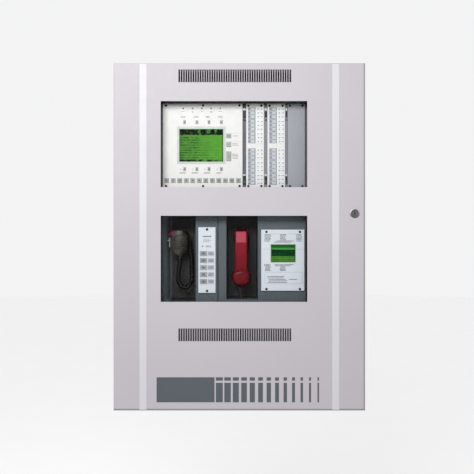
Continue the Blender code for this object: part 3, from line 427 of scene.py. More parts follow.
def painted(name, colour, spread=0.04, roughness=0.42, grain=900, depth=0.00004, strength=0.25, gloss=0.5):
    """Powder coat: a fine orange peel, slow uneven tone and a little uneven gloss."""
    n = Nodes(name)
    slow = n.noise(5.0, 3.0)
    fine = n.noise(grain, 2.0)
    tone = n.math("ADD", n.times(slow, 0.75), n.times(fine, 0.25))
    n.set(Base_Color=n.mix(n.spread(tone, 0, 1), *tones(colour, spread)), Specular_IOR_Level=gloss)
    n.set(Roughness=n.spread(n.noise(40, 3.0), roughness - 0.05, roughness + 0.07))
    n.bump(fine, strength, depth)
    return n


def plastic(name, colour, roughness=0.45, grain=1600, depth=0.00003, spread=0.06, strength=0.3, coat=0.0,
            gloss=0.5):
    """Moulded plastic: a fine spark-eroded grain, faint flow marks and handling gloss."""
    n = Nodes(name)
    grains = n.cells(grain, feature="SMOOTH_F1", output="Distance")
    flow = n.noise(30, 3.0, stretch=(1, 1, 0.35))
    n.set(Base_Color=n.mix(n.spread(flow, 0, 1), *tones(colour, spread)))
    n.set(Roughness=n.spread(n.noise(70, 3.0), roughness - 0.06, roughness + 0.08))
    n.set(Coat_Weight=coat, Coat_Roughness=0.12, Specular_IOR_Level=gloss)
    n.bump(grains, strength, depth)
    return n


def metal(name, colour, roughness, stretch=(1, 1, 1), scale=600, spread=0.10):
    """Bare metal: drawn or rolled scratches, uneven polish."""
    n = Nodes(name)
    lines = n.noise(scale, 4.0, 0.6, stretch)
    n.set(Base_Color=n.mix(n.spread(lines, 0, 1), *tones(colour, spread)), Metallic=1.0)
    n.set(Roughness=n.spread(n.noise(60, 3.0), roughness - 0.06, roughness + 0.10))
    n.bump(lines, 0.12, 0.00003)
    return n


def zinc(name, colour):
    """Zinc plate: faint spangles of uneven tone over rolled steel."""
    n = Nodes(name)
    spangle = n.add("SeparateColor", Color=n.cells(110)).outputs
    n.set(Base_Color=n.mix(spangle[0], *tones(colour, 0.12, 0.08)), Metallic=0.9)
    n.set(Roughness=n.spread(spangle[1], 0.34, 0.50, 0, 1))
    n.bump(n.noise(500, 3.0), 0.15, 0.00003)


LAMP_SHADES = {
    "led_grey": (146, 154, 168),
    "led_amber": (120, 96, 44),
    "led_red": (104, 48, 50),
    "led_green": (60, 92, 66),
    "led_dark": (64, 62, 66),
}


def make_materials():
    make_door_material()
    painted("stripe_paint", rgb(224, 223, 230), 0.015, 0.5, gloss=0.2)
    make_box_material()
    painted("dark_paint", rgb(92, 97, 100), 0.07, 0.52, 1300, 0.00006, 0.4)
    painted("blank_paint", rgb(166, 170, 178), 0.03, 0.45)
    painted("graphic_ink", rgb(79, 88, 95), 0.06, 0.5)
    painted("gap_grey", rgb(134, 136, 145), 0.06, 0.5)
    painted("flange_grey", rgb(88, 84, 96), 0.06, 0.5)
    plastic("white_panel", rgb(247, 247, 244), 0.46, 2200, 0.00002, 0.012)
    plastic("proud_panel", rgb(238, 246, 255), 0.46, 2200, 0.00002, 0.015)
    plastic("label_card", rgb(250, 254, 254), 0.40, 2600, 0.00001, 0.01, coat=0.3)
    plastic("label_window", rgb(196, 200, 212), 0.25, 2600, 0.00001, 0.02, coat=0.3)
    plastic("print_grey", rgb(96, 99, 108), 0.5, spread=0.08)
    plastic("faint_print", rgb(122, 128, 140), 0.5, spread=0.05)
    plastic("print_dark", rgb(48, 50, 56), 0.5, spread=0.08)
    plastic("phone_ink", rgb(80, 82, 88), 0.5, spread=0.08)
    plastic("cell_grey", rgb(208, 213, 217), 0.42, 1800, 0.00003, 0.03)
    plastic("field_grey", rgb(172, 178, 189), 0.5, 2000, 0.00002, 0.03)
    plastic("rib_black", rgb(42, 34, 30), 0.30, 1200, 0.00004, 0.2, 0.3, gloss=0.4)
    # Pale red for the painted highlight on the handset's upper slope
    plastic("handset_highlight", rgb(190, 42, 70), 0.34, 1500, 0.00002, 0.05, 0.2, gloss=0.25)
    plastic("handset_boot", rgb(66, 30, 34), 0.45, 1500, 0.00003, 0.08, 0.25, gloss=0.2)
    plastic("talk_red", rgb(116, 24, 64), 0.32, 1500, 0.00002, 0.06, 0.2, gloss=0.3)
    plastic("battery_case", rgb(58, 60, 65), 0.5, 900, 0.00010, 0.08, 0.5)
    plastic("wire_red", rgb(150, 28, 26), 0.45)
    plastic("wire_black", rgb(30, 30, 31), 0.45)
    plastic("foam", rgb(38, 38, 39), 0.85, 1400, 0.0002, 0.15, 0.8)
    plastic("screw_black", rgb(20, 19, 21), 0.42, 2400, 0.00002, 0.15, 0.3, gloss=0.25)
    plastic("cord_black", rgb(22, 17, 16), 0.30, 1400, 0.00005, 0.15, 0.4, gloss=0.22)
    plastic("cord_red", rgb(70, 36, 38), 0.42, 1400, 0.00005, 0.10, 0.4, gloss=0.15)
    for name, shade in LAMP_SHADES.items():
        plastic(name, rgb(*shade), 0.22, 2600, 0.00001, 0.08, 0.1, 0.6)
    plastic("screen_frame", rgb(200, 211, 202), 0.35, 2200, 0.00002, 0.02)
    make_bezel_material()
    metal("lock_core", (0.12, 0.112, 0.12, 1), 0.34, (1, 1, 12), 500)
    metal("lock_steel", (0.50, 0.50, 0.51, 1), 0.30, (1, 1, 12), 500)
    metal("clip_metal", (0.13, 0.145, 0.135, 1), 0.34, (1, 1, 10), 500)
    zinc("zinc_steel", (0.62, 0.63, 0.62, 1))
    make_fascia_material()
    make_microphone_material()
    make_handset_material()
    make_key_material("key_grey", 0.95)
    make_key_material("side_key_grey", 0.4)
    make_board_material()
    make_big_screen_material()
    make_small_screen_material()
    make_pane_material()
    make_floor_material()


def make_floor_material():
    n = Nodes("floor")
    n.set(Base_Color=n.mix(n.noise(3, 4.0), (0.955, 0.955, 0.96, 1), (0.985, 0.985, 0.985, 1)))
    n.set(Roughness=0.9)
    n.bump(n.noise(60, 4.0), 0.05, 0.001)


def within(n, value, low, high):
    return n.times(n.math("GREATER_THAN", value, low), n.math("LESS_THAN", value, high))


def uneven(n, noise, reach):
    """A noise as a shift to both sides of nought."""
    return n.times(n.math("SUBTRACT", noise, 0.5), reach)


def make_door_material():
    """Powder coat, with painted shade greying it along the bends at the lock side and at the bottom."""
    n = painted("door_paint", rgb(204, 198, 205), 0.02, 0.58, gloss=0.2)
    paint = n.paint()
    low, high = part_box("outer_door")
    x, _, z = n.axes()
    # Painted shade: the lock-side bend and the bottom bend go grey, as they turn away from the light
    side = n.spread(x, 0.0, 0.75, high.x - 0.0070, high.x - 0.0030)
    foot = n.spread(z, 1.0, 0.0, low.z + 0.0035, low.z + 0.0070)
    n.set(Base_Color=n.mix(n.math("MAXIMUM", side, foot), paint, rgb(150, 148, 153)))


def make_box_material():
    """Powder coat, light outside and on its front lip, with painted shade making the inside of the box a
    mid grey.
    """
    n = painted("box_paint", rgb(205, 204, 209), 0.025, 0.48)
    paint = n.paint()
    low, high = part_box("backbox")
    x, y, z = (within(n, axis, low[k] + SKIN, high[k] - SKIN) for k, axis in enumerate(n.axes()))
    # Painted shade: the inside of the box goes a mid grey
    n.set(Base_Color=n.mix(n.times(n.times(x, y), z), paint, rgb(150, 151, 156)))


def make_bezel_material():
    """The lock's bezel: chrome, dulled, with painted shade darkening it towards its lower edge and round
    its outer lip.
    """
    n = metal("chrome", (0.44, 0.43, 0.45, 1), 0.30, scale=900, spread=0.05)
    low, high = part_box("lock_barrel")
    middle = (low + high) / 2
    bright = n.paint()
    x, _, z = n.axes()
    across = n.math("SUBTRACT", x, middle.x)
    up = n.math("SUBTRACT", z, middle.z)
    out = n.math("SQRT", n.math("ADD", n.times(across, across), n.times(up, up)))
    # Painted shade towards the lower edge and round the outer lip, where the ring turns from the light
    # above
    lower = n.spread(up, 1.0, 0.0, -0.006, 0.005)
    darkening = n.math("MAXIMUM", lower, n.spread(out, 1.0, 0.0, 0.0112, 0.0128))
    n.set(Base_Color=n.mix(darkening, bright, (0.10, 0.095, 0.10, 1)))
    n.set(Roughness=n.spread(darkening, 0.55, 0.66, 0.0, 1.0))


def make_fascia_material():
    """Dark textured paint; painted shade makes the bays near black inside, and painted light makes the
    first bay's left wall paler.
    """
    n = painted("fascia_paint", rgb(92, 102, 109), 0.07, 0.52, 1300, 0.00006, 0.4, gloss=0.3)
    front = n.paint()
    x, y, _ = n.axes()
    depth = n.ramp(y, PANEL_FACE + 0.010, PANEL_FACE + 0.045)
    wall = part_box("paging_fascia")[0].x + BAY_WALL_WIDTH
    # Painted light on the first bay's left wall, which faces the light, and painted shade deepening into
    # the bays
    side = n.mix(depth, front, rgb(158, 170, 176))
    recess_shade = n.mix(depth, front, rgb(40, 35, 36))
    n.set(Base_Color=n.mix(n.ramp(x, wall - 0.012, wall + 0.010), side, recess_shade))


def make_microphone_material():
    """Dark plastic, paler and greener with mottled patches, with painted shade making its right side brown
    black.
    """
    n = plastic("black_plastic", rgb(86, 86, 76), 0.36, 1200, 0.00008, 0.12, 0.5, gloss=0.15)
    body_tone = n.paint()
    patch = n.spread(n.noise(140, 3.0), 0.0, 0.75, 0.42, 0.62)
    body_tone = n.mix(patch, body_tone, rgb(78, 62, 56))
    # Painted shade: the side away from the light goes brown black, with a ragged edge
    across = n.math("ADD", n.axes()[0], uneven(n, n.noise(90, 2.0), 0.014))
    dark = n.ramp(across, MIC_CENTRE[0] - 0.002, MIC_CENTRE[0] + 0.009)
    n.set(Base_Color=n.mix(dark, body_tone, rgb(22, 18, 16)))


def make_handset_material():
    """Red plastic, with painted light making it brighter red towards the top, and painted shade where it
    turns to the sides and at both ends.
    """
    n = plastic("handset_red", rgb(118, 12, 25), 0.34, 1500, 0.00002, 0.06, 0.2, gloss=0.10)
    low_red = n.paint()
    x, _, z = n.axes()
    # Painted shade where the handset turns to its sides, wider at the mouthpiece, and at its top and bottom
    # ends
    beside = n.math("ABSOLUTE", n.math("SUBTRACT", x, HANDSET_CORD_ROUTE[0][0]))
    beside = n.math("SUBTRACT", beside, n.spread(z, 0.0, MOUTHPIECE_EXTRA, -0.098, -0.118))
    ends = n.math("MAXIMUM", n.ramp(z, -0.139, -0.155), n.ramp(z, 0.0150, 0.0175))
    edge = n.math("MAXIMUM", n.ramp(beside, 0.0140, 0.0205), ends)
    # Painted light: brighter red towards the top
    red = n.mix(n.ramp(z, -0.115, -0.020), low_red, rgb(152, 17, 37))
    n.set(Base_Color=n.mix(edge, red, rgb(50, 11, 15)))


def make_key_material(name, darkening):
    """Grey push buttons whose middles are darker; each button's tone is a little its own."""
    n = Nodes(name)
    across = n.axes("Generated")
    u = n.math("ABSOLUTE", n.math("SUBTRACT", across[0], 0.5))
    v = n.math("ABSOLUTE", n.math("SUBTRACT", across[2], 0.5))
    reach = n.math("MAXIMUM", u, v)
    ragged = n.math("ADD", reach, uneven(n, n.noise(900, 2.0), 0.22))
    middle = n.spread(ragged, 1.0, 0.0, 0.12, 0.27)
    own = n.add("ObjectInfo").outputs["Random"]
    light = n.mix(own, rgb(168, 171, 176), rgb(184, 186, 190))
    n.set(Base_Color=n.mix(n.times(middle, darkening), light, rgb(88, 90, 96)))
    n.set(Roughness=n.spread(n.noise(300, 2.0), 0.40, 0.52))
    n.bump(n.cells(1700, feature="SMOOTH_F1", output="Distance"), 0.3, 0.00003)


def make_board_material():
    """Solder resist over copper tracks that run straight, with tinned pads."""
    n = Nodes("circuit_board")
    tracks = n.cells(260, (1, 1, 3.5), output="Distance")
    other = n.cells(210, (3.5, 1, 1), output="Distance")
    line = n.math("LESS_THAN", n.math("MINIMUM", tracks, other), 0.10)
    pads = n.math("LESS_THAN", n.cells(170, output="Distance"), 0.16)
    green = n.mix(line, rgb(26, 84, 48), rgb(58, 122, 66))
    n.set(Base_Color=n.mix(pads, green, rgb(190, 188, 170)))
    n.set(Roughness=n.spread(n.noise(80, 3.0), 0.30, 0.45))
    n.bump(line, 0.3, 0.00004)


def screen_axes(n, node, bezel):
    """Shares across and up a screen's lit area, from 0 to 1."""
    low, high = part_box(node)
    axes = n.axes()
    edge = SCREEN_FLANGE + bezel
    return (n.spread(axes[0], 0, 1, low.x + edge, high.x - edge),
            n.spread(axes[2], 0, 1, low.z + edge, high.z - edge))


def block_print(n, u, v, columns, rows, share):
    """Rows of small blocks that stand for written lines: 1 on a block and 0 beside it."""
    line = n.math("FRACT", n.times(v, rows))
    in_line = n.times(n.math("GREATER_THAN", line, 0.28), n.math("LESS_THAN", line, 0.80))
    column, row = n.math("FLOOR", n.times(u, columns)), n.math("FLOOR", n.times(v, rows))
    spot = n.add("CombineXYZ", X=column, Y=row)
    blocks = n.add("TexWhiteNoise")
    blocks.noise_dimensions = "2D"
    n.link(spot.outputs[0], blocks.inputs["Vector"])
    return n.times(in_line, n.math("GREATER_THAN", blocks.outputs["Value"], 1 - share))


def finish_screen(n, green):
    n.set(Base_Color=green, Roughness=0.45, Specular_IOR_Level=GLASS_GLOSS)
    n.set(Emission_Color=green, Emission_Strength=0.25)
    n.bump(n.noise(900, 2.0), 0.05, 0.00002)


def make_big_screen_material():
    """The display's screen: a dark patchy heading, written lines on the left and dark edges."""
    n = Nodes("big_screen")
    u, v = screen_axes(n, "display_lcd", DISPLAY_BEZEL)
    tone = n.math("ADD", n.times(u, 0.6), n.noise(45, 2.0))
    green = n.mix(n.spread(tone, 0, 1, 0.4, 1.1), rgb(76, 131, 48), rgb(90, 166, 54))
    written = n.spread(u, 1.0, 0.25, 0.38, 0.56)
    page = within(n, v, 0.10, 0.79)
    lines = n.times(block_print(n, u, v, 44.0, 13.0, 0.62), n.times(written, page))
    green = n.mix(n.times(lines, 0.66), green, rgb(24, 62, 24))
    ragged = n.math("ADD", v, uneven(n, n.noise(150, 2.0), 0.07))
    patches = n.spread(n.noise(110, 2.0, stretch=(1, 1, 0.7)), 1.0, 0.45, 0.56, 0.64)
    green = n.mix(n.times(within(n, ragged, 0.815, 0.985), patches), green, rgb(8, 14, 10))
    blotches = n.spread(n.noise(60, 1.0), 1.0, 0.3, 0.45, 0.6)
    foot = n.times(n.math("LESS_THAN", ragged, 0.060), blotches)
    green = n.mix(foot, green, rgb(12, 24, 14))
    edge = n.math("MAXIMUM", n.spread(u, 1, 0, 0.0, 0.030), n.spread(u, 0, 1, 0.968, 0.99))
    finish_screen(n, n.mix(n.times(edge, 0.75), green, rgb(26, 42, 32)))


SMALL_SCREEN_BANDS = (
    (0.81, 1.01, 0.90, (20, 92, 30)),
    (0.70, 0.81, 0.80, (74, 160, 76)),
    (0.35, 0.70, 0.98, (2, 52, 22)),
)


def make_small_screen_material():
    """The telephone unit's screen: level bands from dark to bright green, with written blocks."""
    n = Nodes("small_screen")
    u, v = screen_axes(n, "phone_lcd", PHONE_BEZEL)
    green = n.mix(n.noise(60, 2.0), rgb(54, 118, 38), rgb(88, 148, 58))
    for low, high, share, shade in SMALL_SCREEN_BANDS:
        green = n.mix(n.times(within(n, v, low, high), share), green, rgb(*shade))
    written = block_print(n, u, v, 20.0, 9.0, 0.45)
    green = n.mix(n.times(written, 0.30), green, rgb(20, 70, 26))
    sides = n.math("MAXIMUM", n.spread(u, 0.8, 0.0, 0.0, 0.06), n.spread(u, 0.0, 0.7, 0.92, 1.0))
    edge = n.math("MAXIMUM", sides, n.spread(v, 0.7, 0.0, 0.0, 0.13))
    finish_screen(n, n.mix(edge, green, rgb(26, 50, 22)))


def make_pane_material():
    """Clear glazing with a non-reflecting finish; nearly all light goes through."""
    n = Nodes("pane")
    n.set(Base_Color=n.mix(n.noise(9, 3.0), rgb(62, 68, 68), rgb(84, 90, 90)))
    n.set(Roughness=n.spread(n.noise(30, 3.0), 0.02, 0.06))
    facing = n.add("LayerWeight", Blend=0.25).outputs["Fresnel"]
    n.set(Specular_IOR_Level=GLASS_GLOSS, Alpha=n.spread(facing, 0.015, 0.45, 0.0, 1.0))
    n.material.blend_method = "BLEND"


CAD_FINISH = {
    "door_paint": ["outer_door"],
    "box_paint": ["backbox"],
    "zinc_steel": ["pane_retainer", "hinge_leaf_box", "hinge_leaf_door", "hinge_pin", "lock_cam",
                   "power_supply"],
    "pane": ["window_pane_upper", "window_pane_lower"],
    "chrome": ["lock_barrel"],
    "lock_core": ["lock_plug"],
    "lock_steel": ["cradle_switch"],
    "dark_paint": ["module_chassis"],
    "fascia_paint": ["paging_fascia", "phone_fascia"],
    "white_panel": ["display_panel", "annunciator_left", "annunciator_right"],
    "proud_panel": ["page_switch_panel", "phone_panel"],
    "blank_paint": ["blank_plate"],
    "screen_frame": ["display_lcd", "phone_lcd"],
    "circuit_board": ["processor_board"],
    "battery_case": ["battery_left", "battery_right"],
    "handset_red": ["handset"],
    "black_plastic": ["microphone"],
    "talk_red": ["talk_button"],
    "side_key_grey": ["page_up_key", "page_down_key", "detail_key"],
}


def dress_cad():
    finish_of = {node: name for name, nodes in CAD_FINISH.items() for node in nodes}
    for name, obj in NODES.items():
        material = M[finish_of.get(name, "key_grey")]
        obj.data.materials.clear()
        obj.data.materials.append(material)


# ---- cords

def smooth_route(route, spacing):
    """Evenly spaced points on a Catmull-Rom curve through a route's own points."""
    points = [Vector(p) for p in route]
    ends = [2 * points[0] - points[1], *points, 2 * points[-1] - points[-2]]
    fine = []
    for a, b, c, d in zip(ends, ends[1:], ends[2:], ends[3:]):
        for k in range(40):
            t = k / 40
            fine.append(0.5 * (2 * b + (c - a) * t + (2 * a - 5 * b + 4 * c - d) * t**2
                               + (3 * b - a - 3 * c + d) * t**3))
    fine.append(points[-1])
    lengths = [0.0]
    for one, two in zip(fine, fine[1:]):
        lengths.append(lengths[-1] + (two - one).length)
    count = max(2, round(lengths[-1] / spacing))
    even, at = [], 0
    for k in range(count + 1):
        target = lengths[-1] * k / count
        while at < len(fine) - 2 and lengths[at + 1] < target:
            at += 1
        share = (target - lengths[at]) / (lengths[at + 1] - lengths[at])
        even.append(fine[at].lerp(fine[at + 1], min(1.0, share)))
    return even


def frames_along(points):
    """A direction and two square-on vectors at each point, carried along without twist."""
    side = Vector((0, 1, 0))
    found = []
    for i, point in enumerate(points):
        ahead = points[min(i + 1, len(points) - 1)] - points[max(i - 1, 0)]
        ahead.normalize()
        side = (side - ahead * side.dot(ahead)).normalized()
        found.append((point, ahead, side, ahead.cross(side)))
    return found


def add_tube(bm, points, radius, sides):
    rings = []
    for point, _, one, two in frames_along(points):
        angles = [2 * math.pi * i / sides for i in range(sides)]
        rings.append([point + radius * (math.cos(a) * one + math.sin(a) * two) for a in angles])
    add_rings(bm, rings)


def helix_path():
    """The curly cord's own line: it leaves both ends straight and winds round the route between them."""
    step = COIL_PITCH / COIL_SIDES
    route = smooth_route(MIC_CORD_ROUTE, step)
    total = len(route) - 1
    lead = COIL_LEAD / step
    path, angle = [], 0.0
    for i, (point, _, one, two) in enumerate(frames_along(route)):
        opened = min(1.0, i / lead, (total - i) / lead)
        opened = opened * opened * (3 - 2 * opened)
        reach = COIL_RADIUS * opened
        angle += 2 * math.pi * opened / COIL_SIDES
        path.append(point + reach * (math.cos(angle) * one + math.sin(angle) * two))
    return path


def make_cord(name, path, radius, sides, material):
    bm = bmesh.new()
    add_tube(bm, path, radius, sides)
    return new_mesh(name, bm, M[material], True)


def make_cords():
    path = helix_path()
    curly = make_cord("curly_cord", path, WIRE_RADIUS, 10, "cord_black")
    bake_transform(curly)
    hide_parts("mic_cord")
    path = smooth_route(HANDSET_CORD_ROUTE, HANDSET_CORD_STEP)
    straight = make_cord("handset_lead", path, HANDSET_CORD_RADIUS, 14, "cord_red")
    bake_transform(straight)
    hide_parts("handset_cord")


# ---- door

STRIPE_X = 0.2916
STRIPE_WIDTH = 0.0214
GRAPHIC_BLOCK = (-0.2505, -0.0751, -0.5009, -0.4251)
BAR_COUNT = 13
BAR_X0 = -0.0606
BAR_PITCH = 0.02495
BAR_WIDTH = 0.0212
BAR_TAPER = 0.00136
BAR_Z = (-0.5009, -0.4417)
DASH_Z = (-0.4354, -0.4251)
DOOR_EDGE = 0.0026
NUT_INSET = 0.0125
WASHER = ((0.0048, LIFT), (0.0048, 0.0005))
NUT = ((0.0036, 0.0005), (0.0040, 0.0010), (0.0040, 0.0030), (0.0036, 0.0034))
STUD = ((0.0016, 0.0034), (0.0016, 0.0052), (0.0011, 0.0058))
GASKET_OUTER = 0.0025
GASKET_INNER = 0.0095
GASKET_CROWN = 0.0014
HINGE_SIDE_GAP = 0.014


def make_door_trim():
    low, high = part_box("outer_door")
    for name, x in (("door_stripe_left", -STRIPE_X), ("door_stripe_right", STRIPE_X)):
        bm = bmesh.new()
        edges = (x - STRIPE_WIDTH / 2, x + STRIPE_WIDTH / 2, low.z + DOOR_EDGE, high.z - DOOR_EDGE)
        add_plate(bm, *edges, DOOR_FACE, 0.00045, 0.0004, 0.5, 3)
        piece(name, bm, "stripe_paint", body="door")
    bm = bmesh.new()
    add_plate(bm, *GRAPHIC_BLOCK, DOOR_FACE, 0.00015, 0.0012, 0.5, 3)
    for i in range(BAR_COUNT):
        middle = BAR_X0 + i * BAR_PITCH
        half = (BAR_WIDTH - i * BAR_TAPER) / 2
        for z in (BAR_Z, DASH_Z):
            add_plate(bm, middle - half, middle + half, *z, DOOR_FACE, 0.00015, 0.0006, 0.5, 2)
    piece("door_graphic", bm, "graphic_ink", body="door")
    make_door_gasket(low, high)
    make_retainer_nuts()


def make_door_gasket(low, high):
    """Foam along the door's turned-in lip at the top, the lock side and the bottom."""
    bm = bmesh.new()
    start, edge = low.x + HINGE_SIDE_GAP, high.x - GASKET_OUTER
    corner = GASKET_INNER + 0.0005
    strips = [
        (start, edge, high.z - GASKET_INNER, high.z - GASKET_OUTER),
        (start, edge, low.z + GASKET_OUTER, low.z + GASKET_INNER),
        (high.x - GASKET_INNER, edge, low.z + corner, high.z - corner),
    ]
    for strip in strips:
        x0, x1, z0, z1 = strip
        crown = (x0 + GASKET_CROWN, x1 - GASKET_CROWN, z0 + GASKET_CROWN, z1 - GASKET_CROWN)
        add_rings(bm, [
            rounded(*strip, high.y + LIFT, 0.001, 2),
            rounded(*strip, high.y + 0.0018, 0.001, 2),
            rounded(*crown, high.y + 0.0027, 0.001, 2),
        ])
    piece("door_gasket", bm, "foam", True, "door")


def make_retainer_nuts():
    """Nuts on weld studs round the frame that holds the panes."""
    low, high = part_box("pane_retainer")
    bm = bmesh.new()
    xs = (low.x + NUT_INSET, (low.x + high.x) / 2, high.x - NUT_INSET)
    middle = (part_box("window_pane_upper")[0].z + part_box("window_pane_lower")[1].z) / 2
    zs = (low.z + NUT_INSET, middle, high.z - NUT_INSET)
    spots = [(x, z) for x in xs for z in zs]
    spots += [(x, (a + middle) / 2) for x in (xs[0], xs[2]) for a in (zs[0], zs[2])]
    for x, z in spots:
        for profile, sides in ((WASHER, 20), (NUT, 6), (STUD, 10)):
            add_turned(bm, (x, high.y, z), "Y", profile, sides)
    piece("retainer_nuts", bm, "zinc_steel", body="door")


# ---- upper window

LED_X = (-0.1732, -0.1442, -0.1156, -0.0870, -0.0587)
LED_Z = 0.3960
LED_FINISH = ("led_green", "led_dark", "led_amber", "led_red", "led_amber")
LED_LABEL_WIDTH = (0.013, 0.006, 0.006, 0.008, 0.015)
LED_LABEL_Z = 0.3868
SIDE_PRINT_X = (-0.0225, -0.0015)
UPPER_LABEL_X = (-0.1737, -0.1327, -0.0970, -0.0588)
UPPER_LABEL_WIDTH = (0.0185, 0.0175, 0.0150, 0.0195)
UPPER_LABEL_Z = 0.3712
LOWER_LABEL_Z = 0.1985
SCREW_RADIUS = 0.0037
DISPLAY_SCREW_X = (-0.2258, -0.1118, 0.0008)
DISPLAY_SCREW_Z = (0.4052, 0.1565)
MODULE_SCREW_INSET = (0.0068, 0.0080)
MODULE_SCREW_Z = (0.4045, 0.1562)
ROW_GROUPS = (0.3941, 0.35595, 0.3178, 0.2676, 0.2284, 0.1892)
ROW_PITCH = 0.0118
LED_AT = 0.0094
FIELD_START = 0.0055
CELL_AT = (0.0149, 0.0265)
LINE_AT = (0.0269, 0.0288)
CARD_AT = (0.0300, 0.0524)
CELL_HALF_HEIGHT = 0.0044
LINE_HALF_HEIGHT = 0.0036
LED_SIZE = (0.0025, 0.0014)
MARK_COLUMNS = ((0.0350, 0.0036), (0.0466, 0.0034))


def make_display_details():
    rng = random.Random(7)
    spots = [(x, z) for z in DISPLAY_SCREW_Z for x in DISPLAY_SCREW_X]
    make_screws("display_screws", spots, PANEL_FACE, SCREW_RADIUS, rng)
    for i, (x, finish) in enumerate(zip(LED_X, LED_FINISH)):
        bm = bmesh.new()
        add_dome(bm, x, LED_Z, PANEL_FACE, 0.0022, 0.0016)
        piece(f"display_lamp_{i + 1}", bm, finish, True)
    faint, dark = bmesh.new(), bmesh.new()
    for i, (x, wide) in enumerate(zip(LED_X, LED_LABEL_WIDTH)):
        add_marks(faint, x - wide / 2, x + wide / 2, LED_LABEL_Z, PANEL_FACE, rng, 0.0014, 1 + i % 2)
    for i, (x, wide) in enumerate(zip(UPPER_LABEL_X, UPPER_LABEL_WIDTH)):
        ink = faint if i % 3 == 0 else dark
        add_marks(ink, x - wide / 2, x + wide / 2, UPPER_LABEL_Z, PANEL_FACE, rng, 0.0014, 2)
    for i in range(4):
        low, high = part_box(f"lower_button_{i + 1}")
        x = (low.x + high.x) / 2
        add_marks(dark, x - 0.017, x + 0.004, LOWER_LABEL_Z, PANEL_FACE, rng, 0.0013, 2)
        bm = bmesh.new()
        add_dome(bm, x - 0.0125, (low.z + high.z) / 2 - 0.001, PANEL_FACE, 0.0013, 0.0010, 12)
        piece(f"button_lamp_{i + 1}", bm, "led_grey", True)
    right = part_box("display_panel")[1].x
    for name, lines in (("page_up_key", 1), ("page_down_key", 2), ("detail_key", 4)):
        low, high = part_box(name)
        middle = (low.z + high.z) / 2 + (lines - 1) * 0.0021
        add_marks(dark, *SIDE_PRINT_X, middle, PANEL_FACE, rng, 0.0016, lines, 0.0044)
        if lines < 4:
            top = high.z + 0.0012
            add_ink(faint, low.x, right - 0.004, top, top + 0.0003, PANEL_FACE)
    piece("display_print_faint", faint, "print_grey")
    piece("display_print_dark", dark, "print_dark")


def make_screen_glass(name, node, bezel, material):
    """The lit area: a thin plate on the screen module's sunken face."""
    low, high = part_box(node)
    edge = SCREEN_FLANGE + bezel
    bm = bmesh.new()
    add_plate(bm, low.x + edge, high.x - edge, low.z + edge, high.z - edge, low.y + SCREEN_SUNK,
              0.0005, 0.0004, 0.3, 2)
    piece(name, bm, material)


def make_annunciator(name, seed):
    """Lamp, push cell and label field on each of eighteen rows."""
    rng = random.Random(seed)
    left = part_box(name)[0].x
    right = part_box(name)[1].x
    fields, lamps, cells, lines, cards, marks = (bmesh.new() for _ in range(6))
    rows = [start - k * ROW_PITCH for start in ROW_GROUPS for k in range(3)]
    half = ROW_PITCH / 2
    cell, line, card = ([left + x for x in at] for at in (CELL_AT, LINE_AT, CARD_AT))
    for top, bottom in ((rows[0] + half, rows[8] - half), (rows[9] + half, rows[17] - half)):
        add_plate(fields, left + FIELD_START, line[1], bottom, top, PANEL_FACE, LABEL, 0.0006)
        add_plate(cards, *card, bottom, top, PANEL_FACE, LABEL, 0.0006)
    face = PANEL_FACE - LABEL
    for z in rows:
        add_dome(lamps, left + LED_AT, z, face, *LED_SIZE, 14)
        add_plate(cells, *cell, z - CELL_HALF_HEIGHT, z + CELL_HALF_HEIGHT, face, 0.0009, 0.0009, 0.4, 3)
        add_plate(lines, line[0], line[1] - 0.0003, z - LINE_HALF_HEIGHT, z + LINE_HALF_HEIGHT, face,
                  0.0001, 0.0004)
        add_ink(marks, card[0] + 0.001, card[1] - 0.001, z - half, z - half + 0.0003, face, ROW_INK)
        for at, wide in MARK_COLUMNS:
            start = left + at + rng.uniform(-0.0006, 0.0006)
            add_ink(marks, start, start + wide, z - 0.0020, z + 0.0014, face, ROW_INK, 0.0004)
        if rng.random() < 0.8:
            add_marks(marks, left + 0.0395, left + 0.0465, z, face, rng, 0.0010)
    piece(name + "_field", fields, "field_grey")
    piece(name + "_card", cards, "label_card")
    piece(name + "_lamps", lamps, "led_grey", True)
    piece(name + "_cells", cells, "cell_grey")
    piece(name + "_lines", lines, "print_grey")
    piece(name + "_marks", marks, "faint_print")
    screws_on_module(name, left, right, rng)


def screws_on_module(name, left, right, rng):
    xs = (left + MODULE_SCREW_INSET[0], right - MODULE_SCREW_INSET[1])
    spots = [(x, z) for z in MODULE_SCREW_Z for x in xs]
    make_screws(name + "_screws", spots, PANEL_FACE, SCREW_RADIUS, rng)


FRAME_Z = (0.1465, 0.4075)
STRIP_DEPTH = 0.0034
FLANGE_DEPTH = 0.0074
FRAME_SHEET = 0.0012
GAP = 0.0004
LATCH_Z = ((0.3685, 0.3880), (0.3590, 0.3625), (0.1620, 0.1860))
TAB_Z = ((0.3900, 0.3965), (0.1885, 0.1925))
BOARD_EDGE_Z = (0.1660, 0.1735)
LATCH_PIN_Z = 0.3785
LATCH_PIN = ((0.0021, 0), (0.0021, -0.0009), (0.0015, -0.0012))


